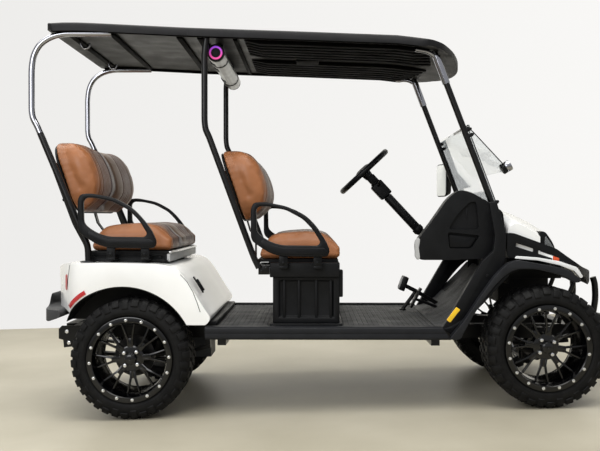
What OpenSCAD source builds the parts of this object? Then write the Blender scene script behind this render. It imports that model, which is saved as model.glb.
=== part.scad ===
// Four-seat golf cart with a raised stance, front towards +X, left side towards +Y.
// Everything on the chassis is drawn in the chassis's own level frame, with x = 0 at
// the rear axle and z = 0 at the ground under it, then tipped nose-down by the rake.

/* [Stance and wheels] */
// Distance between the axles
wheelbase = 1930; // [1800:10:2300]
// Distance between the middles of the left and right tyres
track = 990; // [940:10:1080]
// Outside diameter of the tyres
tyre_d = 560; // [540:5:590]
// Width of a tyre
tyre_w = 254; // [230:2:270]
// Diameter of the rim where the tyre sits
rim_seat_d = 356; // [340:2:360]
// Outside diameter of the rim's flanges
rim_flange_d = 398; // [390:2:410]
// Spokes on a rim
spoke_count = 16; // [8:2:20]
// Recess of the hub behind the rim's face
hub_recess = 58; // [40:2:70]
// Nose-down angle of the chassis over its axles
rake = 1.7; // [0:0.1:2.5]

/* [Floor and body] */
// Width over the side sills
sill_w = 1180; // [1120:10:1220]
// Height of the sills' lower edge
sill_bottom = 370; // [350:5:390]
// Depth of the side sills
sill_h = 61; // [50:1:80]
// Thickness of the floor panel
floor_t = 14; // [8:1:18]
// Thickness of the rubber mat
mat_t = 6; // [4:1:10]
// Height of the rear body's top deck
deck_z = 726; // [700:2:760]
// Width of the rear body
rear_body_w = 1160; // [1100:10:1200]
// Wall of the moulded body panels
wall = 6; // [4:1:10]
// Radius of the rear wheel arches
arch_r = 340; // [335:1:350]

/* [Seats] */
// Width of the seat cushions and backs
seat_w = 950; // [880:10:960]
// Depth of a seat cushion
cushion_l = 428; // [400:2:450]
// Height of a seat cushion at its crown
cushion_h = 124; // [100:2:130]
// Thickness of a seat back at its middle
back_t = 140; // [100:2:150]
// Distance from the rear seat to the front seat
seat_pitch = 808; // [790:2:830]
// Rear edge of the rear cushion, measured forward from the rear axle
seat_x = -228; // [-240:1:-220]
// Underside of the front cushion
front_cushion_z = 738; // [730:1:760]
// Underside of the rear cushion
rear_cushion_z = 778; // [770:1:800]
// Radius of the lid hinge pins
hinge_pin_r = 4.7; // [4:0.1:6]

/* [Roof and struts] */
// Width of the roof
roof_w = 1120; // [1060:10:1180]
// Thickness of the roof panels
roof_t = 30; // [20:1:36]
// Height of the roof's top at the rear
roof_z = 1850; // [1760:5:1900]
// Join between the two roof panels
roof_seam_x = 262; // [200:2:400]
// Distance between the rear struts, and between the mid struts
strut_span = 1040; // [1036:2:1060]
// Distance between the front struts
front_strut_span = 860; // [840:2:880]
// Radius of the strut tubes
strut_r = 15; // [12:0.5:17]

/* [Windshield, dash and controls] */
// Thickness of the windshield panes
pane_t = 5; // [4:0.5:6]
// Width of the windshield panes
pane_w = 880; // [860:2:900]
// Length of the folding upper pane
upper_pane_l = 280; // [240:5:300]
// Width of the dash
dash_w = 940; // [900:10:960]
// Diameter of the steering wheel at the middle of its rim
wheel_rim_d = 320; // [300:5:340]
// Thickness of the steering wheel's rim
wheel_rim_t = 27; // [22:1:30]
// Angle of the steering column below level
column_angle = 47; // [40:1:52]
// Distance of the steering wheel to the left of the middle
driver_y = 270; // [240:5:290]

/* [Hidden] */
$fn = 48;

// Running gap between two pieces that only rest on each other
gap = 0.3;
// Clearance between a pin and its bore
pin_gap = 0.3;
wheel_r = tyre_d / 2;
half_track = track / 2;
floor_top = sill_bottom + 45;
sill_top = sill_bottom + sill_h;
half_sill = sill_w / 2;
half_body = rear_body_w / 2;
half_seat = seat_w / 2;
strut_y = strut_span / 2;
front_strut_y = front_strut_span / 2;
// Ends of the cart, in the chassis frame, that centre it on its origin
rear_end_x = -472.7;
// The nose is drawn for a wheelbase of 1930 and moves with the front wheels
nose_x = (wheelbase - 1930) * cos(rake);
front_end_x = 2319.5 + nose_x;
// The canopy's supports are drawn for a roof 1850 high and rise with it
roof_rise = roof_z - 1850;
centre_x = (front_end_x + rear_end_x) / 2;
// Centre of the front wheels in the chassis frame
front_hub_x = wheelbase * cos(rake);
front_hub_z = wheel_r + wheelbase * sin(rake);

// ---- Helpers ----

// Shifts the cart so that its middle is over the origin
module placed() {
    translate([-centre_x, 0, 0]) children();
}

// Tips the chassis about the rear axle
module raked() {
    placed()
        translate([0, 0, wheel_r])
            rotate([0, rake, 0])
                translate([0, 0, -wheel_r]) children();
}

// Moves a piece of the nose with the front wheels
module fore() {
    translate([nose_x, 0, 0]) children();
}

// Draws a piece on both sides of the cart
module both_sides() {
    children();
    mirror([0, 1, 0]) children();
}

// Extrudes an x-z outline across the cart, centred on y
module across(width, y = 0) {
    translate([0, y, 0])
        rotate([90, 0, 0])
            linear_extrude(height = width, center = true) children();
}

// Extrudes a plan outline from one height to another
module plan(z0, z1) {
    translate([0, 0, z0]) linear_extrude(height = z1 - z0) children();
}

// A box from its low corner to its high corner
module span(low, high) {
    translate(low) cube(high - low);
}

function unit(v) = v / norm(v);
function arc(centre, r, a0, a1, steps) = [
    for (i = [0 : steps])
        let (a = a0 + (a1 - a0) * i / steps)
        centre + r * [cos(a), sin(a)]
];
function heading(path, i) = unit(path[min(i + 1, len(path) - 1)] - path[max(i - 1, 0)]);
function ring(path, i, r, sides) =
    let (along = heading(path, i))
    let (side = unit([0, 1, 0] - along * along[1]))
    let (other = cross(along, side))
    [for (k = [0 : sides - 1]) path[i] + r * (side * cos(360 * k / sides) + other * sin(360 * k / sides))];

// A round tube swept along a path that doesn't run straight across the cart
module tube(path, r, sides = 16) {
    last = (len(path) - 1) * sides;
    rings = [for (i = [0 : len(path) - 1]) each ring(path, i, r, sides)];
    walls = [
        for (i = [0 : len(path) - 2], k = [0 : sides - 1])
            let (a = i * sides + k, b = i * sides + (k + 1) % sides)
            [a, a + sides, b + sides, b]
    ];
    start = [for (k = [0 : sides - 1]) k];
    end = [for (k = [sides - 1 : -1 : 0]) last + k];
    polyhedron(rings, concat(walls, [start, end]), convexity = 6);
}

// Points of a planar path at one y
function at_y(points, y) = [for (p = points) [p[0], y, p[1]]];

// Rounded rectangle with its low and high corners given
module rounded(low, high, r) {
    translate([low[0] + r, low[1]]) square([high[0] - low[0] - 2 * r, high[1] - low[1]]);
    translate([low[0], low[1] + r]) square([high[0] - low[0], high[1] - low[1] - 2 * r]);
    for (x = [low[0] + r, high[0] - r], y = [low[1] + r, high[1] - r]) translate([x, y]) circle(r);
}

// ---- Frame and floor ----

rail_x1 = 2150 + nose_x;
rail_y0 = 165;
rail_y1 = 215;
rail_z0 = sill_bottom - 40;
rail_z1 = floor_top - floor_t - gap;
bracket_y = 300;
bracket_t = 8;
bracket_hole_r = 6.5;
bracket_hole_z = [372, 316];
bracket_hole_x = [-372, -362];

module bracket_plate() {
    difference() {
        across(bracket_t, bracket_y + bracket_t / 2)
            polygon([[-414, 385], [-398, 400], [-300, 400], [-318, 300], [-388, 292], [-392, 330], [-414, 336]]);
        for (i = [0, 1])
            translate([bracket_hole_x[i], bracket_y, bracket_hole_z[i]])
                rotate([-90, 0, 0])
                    translate([0, 0, -5]) cylinder(h = bracket_t + 10, r = bracket_hole_r);
    }
}

module chassis_frame() {
    color("#1b1c1e") raked() {
        both_sides() {
            span([-400, rail_y0, rail_z0], [rail_x1, rail_y1, rail_z1]);
            bracket_plate();
        }
        // Cross-members tie the rails together and carry the floor and bodies
        for (x = [-400, 380, floor_x1 - 320, floor_x1])
            span([x, -rail_y1, rail_z0], [x + 50, rail_y1, rail_z1]);
        span([-342, -bracket_y - 1, rail_z0 + 5], [-304, bracket_y + 1, rail_z1]);
        span([400, -half_sill + 50, rail_z0 + 8], [440, half_sill - 50, rail_z1]);
        span([floor_x1 - 40, -half_sill + 50, rail_z0 + 8], [floor_x1, half_sill - 50, rail_z1]);
        span([rail_x1 - 50, -rail_y1, rail_z0], [rail_x1, rail_y1, rail_z1]);
    }
}

// Inner face of the front flares
flare_y0 = half_sill - 53;
floor_x0 = 345;
floor_x1 = 1440 + nose_x;
sill_x1 = floor_x1 + 50;
// Step from the toe board's lower face to its upper one
toe_rise = [-9, 11];
mat_top = floor_top + gap + mat_t;
// Rubber boot where the brake pedal's link goes down through the mat
boot_at = [1350, 262];
boot_r = 19;
toe_line = [[1440, 401], [1500, 416], [1570, 458], [1650, 540], [1765, 668]];

module toe_outline() {
    lifted = [for (i = [len(toe_line) - 1 : -1 : 0]) toe_line[i] + toe_rise];
    polygon(concat(toe_line, lifted));
}

module floor_pan() {
    color("#242528") raked() {
        span([floor_x0, -half_sill + 45, floor_top - floor_t], [floor_x1, half_sill - 45, floor_top]);
        fore() across(2 * (flare_y0 - gap)) toe_outline();
        both_sides() {
            difference() {
                span([floor_x0, half_sill - 50, sill_bottom], [sill_x1, half_sill, sill_top]);
                translate([sill_x1, 0, sill_bottom])
                    rotate([0, -35, 0]) span([0, half_sill - 60, -20], [80, half_sill + 10, 120]);
            }
        }
    }
}

module floor_mat() {
    color("#3a3b3d") raked()
        difference() {
            span([floor_x0 + 20, -half_sill + 56, floor_top + gap], [floor_x1 - 16, half_sill - 56, mat_top]);
            span([pod_x0 - 6, -pod_half - 6, floor_top - 1], [pod_x1 + 6, pod_half + 6, floor_top + 20]);
            fore() translate([boot_at[0], boot_at[1], floor_top - 1]) cylinder(h = mat_t + 5, r = boot_r + gap);
        }
}

// ---- Rear body ----

body_outline = [
    [-455, 505], [-458, 590], [-440, 660], [-395, 708], [-340, deck_z],
    [215, deck_z], [250, 700], [338, 520], [338, 438], [-250, 438], [-330, 505]
];
body_rear_x = -458;
body_corner = 150;
// The rear face bows outwards across the cart
body_bow_r = 900;
bumper_bow_r = 2200;
bumper_half = 565;
arch_x = -40;
arch_z = 275;
well_y = 335;
riser_x0 = seat_x + 12;
riser_x1 = 168;

// A plan whose end at x0 bows outwards, with rounded corners
module bowed(x0, half, bow_r, corner, l = 1300) {
    sweep = asin(half / bow_r);
    offset(r = corner, $fn = 96) offset(delta = -corner)
        polygon(concat(
            arc([x0 + bow_r, 0], bow_r, 180 - sweep, 180 + sweep, 36),
            [[x0 + l, -half], [x0 + l, half]]
        ));
}

module body_plan(inset = 0) {
    bowed(body_rear_x + inset, half_body - inset, body_bow_r - inset, body_corner - inset);
}

module rear_body() {
    color("#f1f1ef") raked()
        difference() {
            union() {
                intersection() {
                    across(rear_body_w) polygon(body_outline);
                    plan(400, 800) body_plan();
                }
                span([150, -half_seat + 5, deck_z - 30], [riser_x1 + 8, half_seat - 5, deck_z + 22]);
            }
            // The hollow inside
            intersection() {
                across(rear_body_w) translate([wall, -wall]) polygon(body_outline);
                across(rear_body_w) translate([-wall, -wall]) polygon(body_outline);
                plan(390, 800) body_plan(wall);
            }
            span([-450, -half_body + wall + 60, 400], [-100, half_body - wall - 60, 520]);
            // Battery opening under the rear seat
            span([riser_x0 + 14, -half_seat + 30, 600], [riser_x1 - 24, half_seat - 30, 800]);
            both_sides()
                translate([arch_x, well_y, arch_z])
                    rotate([-90, 0, 0]) cylinder(h = 400, r = arch_r, $fn = 128);
            // Lamps sit in pockets in the rear corners
            both_sides() lamp_solid(gap);
        }
}

module lamp_solid(slack = 0) {
    translate([-352, half_body - 150, 628])
        rotate([0, 0, -40])
            span([-60 - slack, -60 - slack, -24 - slack], [26 + slack, 60 + slack, 24 + slack]);
}

marker_r = [8, 28];
marker_a = [119, 138];
marker_t = 5;

module tail_lamps() {
    color("#b3201f") raked() {
        both_sides()
            intersection() {
                lamp_solid();
                intersection() {
                    across(rear_body_w) polygon(body_outline);
                    plan(400, 800) body_plan();
                }
            }
        // Side markers follow the arch around the rear corner
        both_sides()
            intersection() {
                across(400, half_body - 100)
                    polygon(concat(
                        arc([arch_x, arch_z], arch_r + marker_r[1], marker_a[0], marker_a[1], 8),
                        arc([arch_x, arch_z], arch_r + marker_r[0], marker_a[1], marker_a[0], 8)
                    ));
                difference() {
                    plan(450, 650) body_plan(-marker_t);
                    plan(440, 660) body_plan(-gap);
                }
            }
    }
}

module rear_seat_riser() {
    color("#161719") raked() {
        difference() {
            span([riser_x0, -half_seat + 5, deck_z + gap], [riser_x1 - 19, half_seat - 5, rear_cushion_z - 13]);
            span([riser_x0 + wall, -half_seat + 5 + wall, deck_z - 1], [riser_x1 - 19 - wall, half_seat - 5 - wall, rear_cushion_z]);
        }
        seat_hinge_lugs([seat_x, rear_cushion_z], riser_x0);
    }
}

// ---- Seats ----
// A seat's own frame starts at the rear lower edge of its cushion.

hinge_at = [-2, -22];
hinge_r = 8;
barrel_l = 60;
lug_t = 8;
hinge_ys = [-300, 300];
board_t = 12;

module seat_frame(origin) {
    translate([origin[0], 0, origin[1]]) children();
}

module lug(y, reach) {
    translate([hinge_at[0], y, hinge_at[1]])
        rotate([90, 0, 0]) cylinder(h = lug_t, r = hinge_r, center = true);
    span([hinge_at[0], y - lug_t / 2, hinge_at[1] - hinge_r], [reach, y + lug_t / 2, hinge_at[1] + 2]);
}

module seat_hinge_lugs(origin, wall_x) {
    reach = wall_x - origin[0] + 1;
    side = barrel_l / 2 + 1 + lug_t / 2;
    seat_frame(origin)
        for (y = hinge_ys) {
            lug(y - side, reach);
            lug(y + side, reach);
            translate([hinge_at[0], y, hinge_at[1]])
                rotate([90, 0, 0]) cylinder(h = barrel_l + 2 + lug_t, r = hinge_pin_r, center = true);
        }
}

module seat_board(origin) {
    color("#1c1d1f") raked() seat_frame(origin) {
        span([4, -half_seat + 8, -board_t - gap], [cushion_l - 40, half_seat - 8, -gap]);
        for (y = hinge_ys)
            difference() {
                union() {
                    translate([hinge_at[0], y, hinge_at[1]])
                        rotate([90, 0, 0]) cylinder(h = barrel_l, r = hinge_r, center = true);
                    span([hinge_at[0] - 4, y - barrel_l / 2, hinge_at[1]], [10, y + barrel_l / 2, -board_t + 3]);
                }
                translate([hinge_at[0], y, hinge_at[1]])
                    rotate([90, 0, 0]) cylinder(h = barrel_l + 20, r = hinge_pin_r + pin_gap, center = true);
            }
    }
}

module cushion_outline() {
    polygon(concat(
        [[cushion_l - 60, 0], [14, 0]],
        arc([34, 24], 26, 200, 130, 3),
        [[60, cushion_h - 34], [120, cushion_h - 10], [220, cushion_h], [310, cushion_h - 8]],
        arc([cushion_l - 66, cushion_h - 78], 66, 60, -30, 5),
        [[cushion_l - 22, 0]]
    ));
}

module seat_cushion(origin) {
    color("#a9774c") raked() seat_frame(origin)
        intersection() {
            across(seat_w) cushion_outline();
            plan(-1, cushion_h + 1) rounded([-5, -half_seat], [cushion_l + 5, half_seat], 46);
        }
}

back_low = [-56, 172];
back_high = [-176, 527];

// A seat back's side view: straight behind, bulging in front
module back_outline() {
    along = unit(back_high - back_low);
    out = [along[1], -along[0]];
    tall = norm(back_high - back_low);
    polygon(concat(
        [back_low, back_high],
        [for (s = [0.97, 0.88, 0.72, 0.54, 0.36, 0.2, 0.08, 0.02])
            back_low + along * tall * s + out * (18 + (back_t - 18) * pow(sin(180 * pow(s, 0.85)), 0.8))]
    ));
}

module seat_back(origin) {
    color("#a9774c") raked() seat_frame(origin)
        intersection() {
            across(seat_w) back_outline();
            translate([back_low[0], 0, back_low[1]])
                rotate([0, -atan2(back_low[0] - back_high[0], back_high[1] - back_low[1]), 0])
                    rotate([90, 0, 90])
                        linear_extrude(height = 400, center = true)
                            rounded([-half_seat, -1], [half_seat, norm(back_high - back_low) + 1], 110);
        }
}

// The shell behind a seat back, with a cross tube to the struts and a middle brace
module back_shell(origin, foot_z) {
    along = unit(back_high - back_low);
    out = [along[1], -along[0]];
    seat_frame(origin) {
        translate([back_low[0], 0, back_low[1]])
            rotate([0, -atan2(back_low[0] - back_high[0], back_high[1] - back_low[1]), 0])
                translate([-gap, 0, 0])
                    rotate([90, 0, -90])
                        linear_extrude(height = 10)
                            rounded([-half_seat + 14, 14], [half_seat - 14, norm(back_high - back_low) - 14], 100);
        for (s = [0.22, 0.7])
            let (p = back_low + along * norm(back_high - back_low) * s - out * 14)
            translate([p[0], 0, p[1]])
                rotate([90, 0, 0]) cylinder(h = 2 * (strut_y - strut_r - gap), r = 9, center = true);
        across(40) polygon([
            back_low + [-28, 30], back_low + [-20, 30], back_low + [0, -40], [-30, 90], [-30, foot_z],
            [-36, foot_z], [-36, 90], back_low + [-8, -42]
        ]);
    }
}

arm_outer = [
    [-22, 240], [-16, 262], [10, 272], [70, 267], [150, 251], [230, 208], [283, 155], [326, 96],
    [347, 46], [340, 24], [318, 16], [123, 18], [70, 32], [16, 66], [-18, 92], [-22, 110]
];
arm_inner = [
    [4, 238], [14, 252], [70, 250], [142, 234], [220, 192], [268, 142], [300, 90], [304, 76],
    [290, 67], [123, 70], [74, 84], [30, 110], [8, 130]
];
arm_y = 556;
arm_t = 30;

// Hip rails beside a seat, each on two feet that reach in to the seat's base
module armrests(origin, base_half) {
    color("#1d1e21") raked() seat_frame(origin)
        both_sides() {
            across(arm_t, arm_y)
                difference() {
                    polygon(arm_outer);
                    polygon(arm_inner);
                }
            for (x = [110, 270])
                span([x, base_half + gap, -40], [x + 40, arm_y, -28]);
            for (x = [110, 270])
                span([x, arm_y - 15, -40], [x + 40, arm_y - 3, 30]);
        }
}

module rear_seat_board() seat_board([seat_x, rear_cushion_z]);
module rear_seat_cushion() seat_cushion([seat_x, rear_cushion_z]);
module rear_seat_back() seat_back([seat_x, rear_cushion_z]);
module rear_armrests() armrests([seat_x, rear_cushion_z], half_seat - 5);
module front_seat_board() seat_board([seat_x + seat_pitch, front_cushion_z]);
module front_seat_cushion() seat_cushion([seat_x + seat_pitch, front_cushion_z]);
module front_seat_back() seat_back([seat_x + seat_pitch, front_cushion_z]);
module front_armrests() armrests([seat_x + seat_pitch, front_cushion_z], pod_half);

module seat_back_shells() {
    color("#17181a") raked() {
        back_shell([seat_x, rear_cushion_z], deck_z + gap - rear_cushion_z);
        back_shell([seat_x + seat_pitch, front_cushion_z], -60);
        // Foot of the front seat's brace, on the pedestal's rear wall
        span([seat_x + seat_pitch - 36, -20, front_cushion_z - 60], [pod_x0 - gap, 20, front_cushion_z - 54]);
    }
}

pod_x0 = 644;
pod_x1 = 988;
pod_half = 515;

module front_seat_pod() {
    top = front_cushion_z - 13;
    color("#17181a") raked() {
        difference() {
            union() {
                span([pod_x0 + 14, -pod_half + 20, floor_top + gap], [pod_x1 - 14, pod_half - 20, 668]);
                span([pod_x0, -pod_half, 655], [pod_x1 - 14, pod_half, top]);
                span([pod_x0, -pod_half + 4, floor_top + gap], [pod_x1, pod_half - 4, floor_top + 22]);
            }
            span([pod_x0 + 14 + wall, -pod_half + 20 + wall, floor_top + wall], [pod_x1 - 14 - wall, pod_half - 20 - wall, top + 10]);
        }
        span([seat_x + seat_pitch + 11, -340, front_cushion_z - 34], [pod_x0 + 3, -260, front_cushion_z - 20]);
        span([seat_x + seat_pitch + 11, 260, front_cushion_z - 34], [pod_x0 + 3, 340, front_cushion_z - 20]);
        seat_hinge_lugs([seat_x + seat_pitch, front_cushion_z], seat_x + seat_pitch + 12);
    }
}

// ---- Roof and struts ----

roof_top = concat(
    [[-400, -4], [-380, 0], [-240, 0], [262, -26], [787, -45]],
    [for (p = [[1249, -64], [1390, -82], [1500, -104], [1570, -122], [1598, -135]]) p + [nose_x, 0]]
);

function roof_at(x) = roof_z + lookup(x, roof_top);

// The upper points of a strut rise with the roof
function lifted(line) = [for (p = line) p[1] > 1600 ? p + [0, roof_rise] : p];

rear_strut_line = [
    [-212, deck_z + gap], [-212, 800], [-265, 921], [-452, 1368], [-470, 1402], [-478, 1436], [-478, 1630],
    [-470, 1690], [-448, 1740], [-408, 1778], [-350, 1797], [-290, 1803], [-100, 1803]
];
mid_strut_line = [
    [592, 700], [572, 744], [539, 831], [358, 1320], [344, 1350], [338, 1385], [338, 1700], [342, 1740], [350, 1800]
];
front_strut_line = [[1777, 822], [1714, 980], [1611, 1252], [1463, 1639], [1420, 1752]];
// The same line, a little longer at its foot
front_strut_hole = [
    for (i = [0 : 3])
        front_strut_line[i] + (i == 0 ? gap * unit(front_strut_line[0] - front_strut_line[1]) : [0, 0])
];

roof_x1 = 1598 + nose_x;
roof_bow_r = 1000;

module roof_panel(x0, x1) {
    intersection() {
        across(roof_w + 10)
            polygon(concat(
                [for (p = roof_top) [p[0], roof_z + p[1]]],
                [for (i = [len(roof_top) - 1 : -1 : 0]) [roof_top[i][0] + 2, roof_z + roof_top[i][1] - roof_t]]
            ));
        plan(roof_z - 350, roof_z + 150)
            intersection() {
                rounded([-400, -roof_w / 2], [roof_x1 + 200, roof_w / 2], 40);
                mirror([1, 0]) bowed(-roof_x1, roof_w / 2, roof_bow_r, 150, 2400);
                translate([x0, -roof_w]) square([x1 - x0, 2 * roof_w]);
            }
    }
}

module roof_rear() {
    color("#2b2c2e") raked() roof_panel(-500, roof_seam_x);
}

module roof_front() {
    color("#2b2c2e") raked() roof_panel(roof_seam_x + gap, 1700 + nose_x);
}

// Everything above the roof's underside, where the struts stop
module over_roof() {
    across(2 * roof_w)
        polygon(concat(
            [[1700 + nose_x, roof_z + 150], [-600, roof_z + 150], [-600, roof_z - roof_t - gap]],
            [for (p = roof_top) [p[0] + 2, roof_z + p[1] - roof_t - gap]]
        ));
}

module strut_pair(line, y) {
    both_sides()
        difference() {
            tube(at_y(line, y), strut_r);
            over_roof();
        }
}

module rear_struts() {
    color("#8d9095") raked() strut_pair(lifted(rear_strut_line), strut_y);
}

module mid_struts() {
    color("#1a1b1d") raked() {
        strut_pair(lifted(mid_strut_line), strut_y);
        // Foot that carries the strut on the seat pedestal
        both_sides() span([590, strut_y - 20, 668], [pod_x0 - gap, strut_y - 8, 712]);
    }
}

module front_struts() {
    color("#1a1b1d") raked()
        strut_pair([for (p = lifted(front_strut_line)) p + [nose_x, 0]], front_strut_y);
}

bar_l = 950;
bar_z = 1720 + roof_rise;

module sound_bar() {
    color("#8c8c8e") raked() {
        translate([386, 0, bar_z]) rotate([90, 0, 0]) cylinder(h = bar_l, r = 42, center = true);
        for (y = [-300, 300]) span([370, y - 20, bar_z], [402, y + 20, roof_at(404) - roof_t - gap]);
    }
}

// ---- Windshield and mirror ----

module pane(low, high, width, r) {
    slope = atan2(high[0] - low[0], high[1] - low[1]);
    translate([low[0], 0, low[1]])
        rotate([0, slope, 0])
            rotate([90, 0, 90])
                linear_extrude(height = pane_t)
                    rounded([-width / 2, 0], [width / 2, norm(high - low)], r);
}

pane_off = strut_r + gap;
strut_up = unit(front_strut_line[2] - front_strut_line[1]);
strut_front = [strut_up[1], -strut_up[0]];
// Foot of the lower pane, and the fold at its top, in front of the struts
pane_foot = front_strut_line[1] + strut_front * pane_off;
fold_at = front_strut_line[2] + strut_front * pane_off + strut_up * 118;
folded_angle = 43;

module windshield() {
    color("#dfe9ee", 0.35) raked() fore() {
        pane(pane_foot, fold_at, pane_w, 20);
        // The upper pane is folded down in front of the lower one
        hung = fold_at + strut_front * (pane_t + gap) - strut_up * 4;
        pane(hung + upper_pane_l * [sin(folded_angle), -cos(folded_angle)], hung, pane_w, 40);
    }
}

module side_mirror() {
    color("#1a1b1d") raked() fore()
        translate([1640, 0, 1160]) {
            translate([-18, front_strut_y + 98, -7])
                rotate([0, 0, 18]) span([-22, -68, -98], [22, 68, 98]);
            translate([0, front_strut_y + strut_r + gap, 0])
                rotate([-90, 0, 0]) cylinder(h = 22, r = 8);
        }
}

// ---- Front end ----

dash_outline = [
    [1345, 735], [1336, 820], [1400, 900], [1490, 1030], [1542, 1070], [1600, 1058], [1690, 1004],
    [1750, 965], [1762, 850], [1680, 742], [1378, 731]
];

// The body of the dash stands back from its passenger's end, where the locker is
dash_body_outline = [
    [1474, 735], [1462, 820], [1520, 900], [1606, 1010], [1650, 1032], [1690, 1004], [1750, 965],
    [1762, 850], [1680, 742]
];
locker_w = 90;

module dash() {
    color("#191a1c") raked() fore()
        difference() {
            union() {
                across(dash_w) polygon(dash_body_outline);
                across(locker_w, (locker_w - dash_w) / 2) polygon(dash_outline);
            }
            both_sides() tube(at_y(front_strut_hole, front_strut_y), strut_r + gap);
            // A pocket open towards the passenger, and cup wells in the top
            span([1400, -370, 770], [1560, -150, 850]);
            for (y = [-90, 90]) translate([1638, y, 920]) cylinder(h = 300, r = 34);
            on_column() translate([0, 0, column_l - 200]) cylinder(h = 200 + gap, r = 21 + gap);
        }
}

cowl_outline = [
    [1766, 968], [1800, 972], [1850, 952], [1950, 900], [2060, 846], [2170, 790], [2222, 748],
    [2232, 700], [2200, 690], [2120, 690], [1772, 690], [1772, 860]
];

module cowl_plan() {
    intersection() {
        rounded([1700, -540], [2240, 540], 60);
        translate([1500, 0]) circle(740, $fn = 160);
    }
}

module front_hollow() {
    both_sides()
        translate([front_hub_x - nose_x, 232, front_hub_z])
            rotate([-90, 0, 0]) cylinder(h = 500, r = arch_r + 4, $fn = 128);
}

module front_cowl() {
    color("#f1f1ef") raked() fore()
        difference() {
            intersection() {
                across(1000) polygon(cowl_outline);
                plan(680, 1000) cowl_plan();
            }
            translate([0, 0, -wall])
                intersection() {
                    across(1000 - 2 * wall) translate([wall, 0]) polygon(cowl_outline);
                    across(1000 - 2 * wall) translate([-wall, 0]) polygon(cowl_outline);
                    translate([-wall, 0, 0]) plan(670, 1000) cowl_plan();
                }
            // Black trim takes the lower corners
            span([1700, -600, 600], [2300, 600, 745]);
            both_sides() span([1920, 385, 700], [2300, 600, 870]);
            both_sides() tube(at_y(front_strut_hole, front_strut_y), strut_r + gap);
        }
}

module front_trim() {
    color("#1c1d1f") raked() fore()
        difference() {
            union() {
                intersection() {
                    across(1060)
                        polygon([[1790, 744], [2226, 744], [2262, 700], [2250, 640], [2180, 628], [2180, 700], [1790, 700]]);
                    plan(600, 900)
                        intersection() {
                            rounded([1700, -540], [2280, 540], 50);
                            translate([1500, 0]) circle(770, $fn = 160);
                        }
                }
                both_sides()
                    intersection() {
                        span([1925, 385 + gap, 744], [2200, 500, 868]);
                        across(1060)
                            polygon([[1925, 744], [1925, 868], [1960, 868], [2040, 820], [2085, 744]]);
                        plan(600, 900) translate([1500, 0]) circle(725, $fn = 160);
                    }
            }
            front_hollow();
            both_sides() span([2010, 404, 758], [2300, 482, 840]);
        }
}

module headlights() {
    color("#dfe5e8") raked() fore() both_sides()
        intersection() {
            span([2010 + gap, 404 + gap, 758 + gap], [2100, 482 - gap, 840 - gap]);
            plan(600, 900) translate([1500, 0]) circle(722, $fn = 160);
            across(1060) polygon([[2000, 744], [2000, 868], [2020, 840], [2085, 744]]);
        }
}

flare_outer = [
    [1494, 372], [1738, 706], [1770, 735], [1800, 740], [1880, 724], [1990, 706], [2040, 688], [2092, 640]
];
flare_inner = [
    [2060, 634], [2010, 662], [1980, 674], [1872, 700], [1785, 699], [1736, 672], [1688, 624], [1640, 562],
    [1596, 496], [1542, 400], [1530, 372]
];

module wheel_arches() {
    color("#232427") raked() {
        both_sides() {
            // Front flare, from the sill up and over the wheel
            fore()
                across(half_sill - 1 - flare_y0, (half_sill - 1 + flare_y0) / 2)
                    polygon(concat(flare_outer, flare_inner));
            // Rear liner inside the body
            difference() {
                translate([arch_x, well_y, arch_z])
                    rotate([-90, 0, 0]) cylinder(h = half_body - wall - well_y - gap, r = arch_r, $fn = 128);
                translate([arch_x, well_y - 5, arch_z])
                    rotate([-90, 0, 0]) cylinder(h = 400, r = arch_r - 5, $fn = 128);
                span([-500, 200, -100], [400, 700, 520]);
            }
        }
    }
}

module bumpers() {
    color("#26272a") raked() {
        rear_bumper();
        fore() front_bumper();
    }
}

module rear_bumper() {
    difference() {
        intersection() {
            across(2 * bumper_half)
                polygon([[-478, 450], [-478, 545], [-464, 560], [-452, 503 - gap], [-330, 503 - gap], [-330, 470], [-400, 450]]);
            plan(400, 600) bowed(body_rear_x - 20, bumper_half, bumper_bow_r, 120);
        }
        both_sides()
            translate([arch_x, well_y, arch_z])
                rotate([-90, 0, 0]) cylinder(h = 400, r = arch_r, $fn = 128);
        intersection() {
            across(2000) polygon([[-465, 503 - gap], [-465, 700], [-300, 700], [-300, 503 - gap]]);
            plan(400, 700) body_plan(-gap);
        }
    }
    span([-460, -120, 455], [-400, 120, 470]);
    both_sides() span([-430, 60, 440], [-400, 110, 470]);
}

module front_bumper() {
    both_sides() {
        tube(at_y([[rail_x1 - nose_x + gap, 372], [2165, 372], [2220, 392], [2262, 440], [2276, 520], [2272, 600], [2268, 620]], 190), 16);
        tube(at_y([[2092, rail_z1 + gap], [2092, rail_z1 + 14], [2140, 540], [2166, 600]], 190), 12);
    }
    translate([2292, 0, 430]) rotate([90, 0, 0]) cylinder(h = 640, r = 24, center = true);
}

// ---- Axles, springs and steering ----

beam_z = 215;
beam_r = 25;
kingpin_y = half_track - 65;
kingpin_r = 10;
knuckle_r = 24;
lug_h = 20;
knuckle_z0 = beam_z + lug_h / 2 + 3;
knuckle_z1 = 2 * wheel_r - knuckle_z0;
arm_l = 85;
arm_z = 236;
spindle_r = 15;
// Inner faces of the rear brake plates
plate_y = half_track - 25;
hub_y = half_track + tyre_w / 2 - 10 - hub_recess;

module rear_axle() {
    color("#2a2b2d") placed() {
        translate([0, 0, wheel_r]) {
            rotate([90, 0, 0]) cylinder(h = 2 * plate_y, r = 34, center = true);
            sphere(r = 92, $fn = 64);
            both_sides()
                translate([0, plate_y, 0])
                    rotate([90, 0, 0]) {
                        translate([0, 0, -12]) cylinder(h = 12, r = 96, $fn = 64);
                        translate([0, 0, plate_y - hub_y + 14]) cylinder(h = hub_y - plate_y - 24, r = spindle_r);
                    }
        }
    }
}

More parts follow.
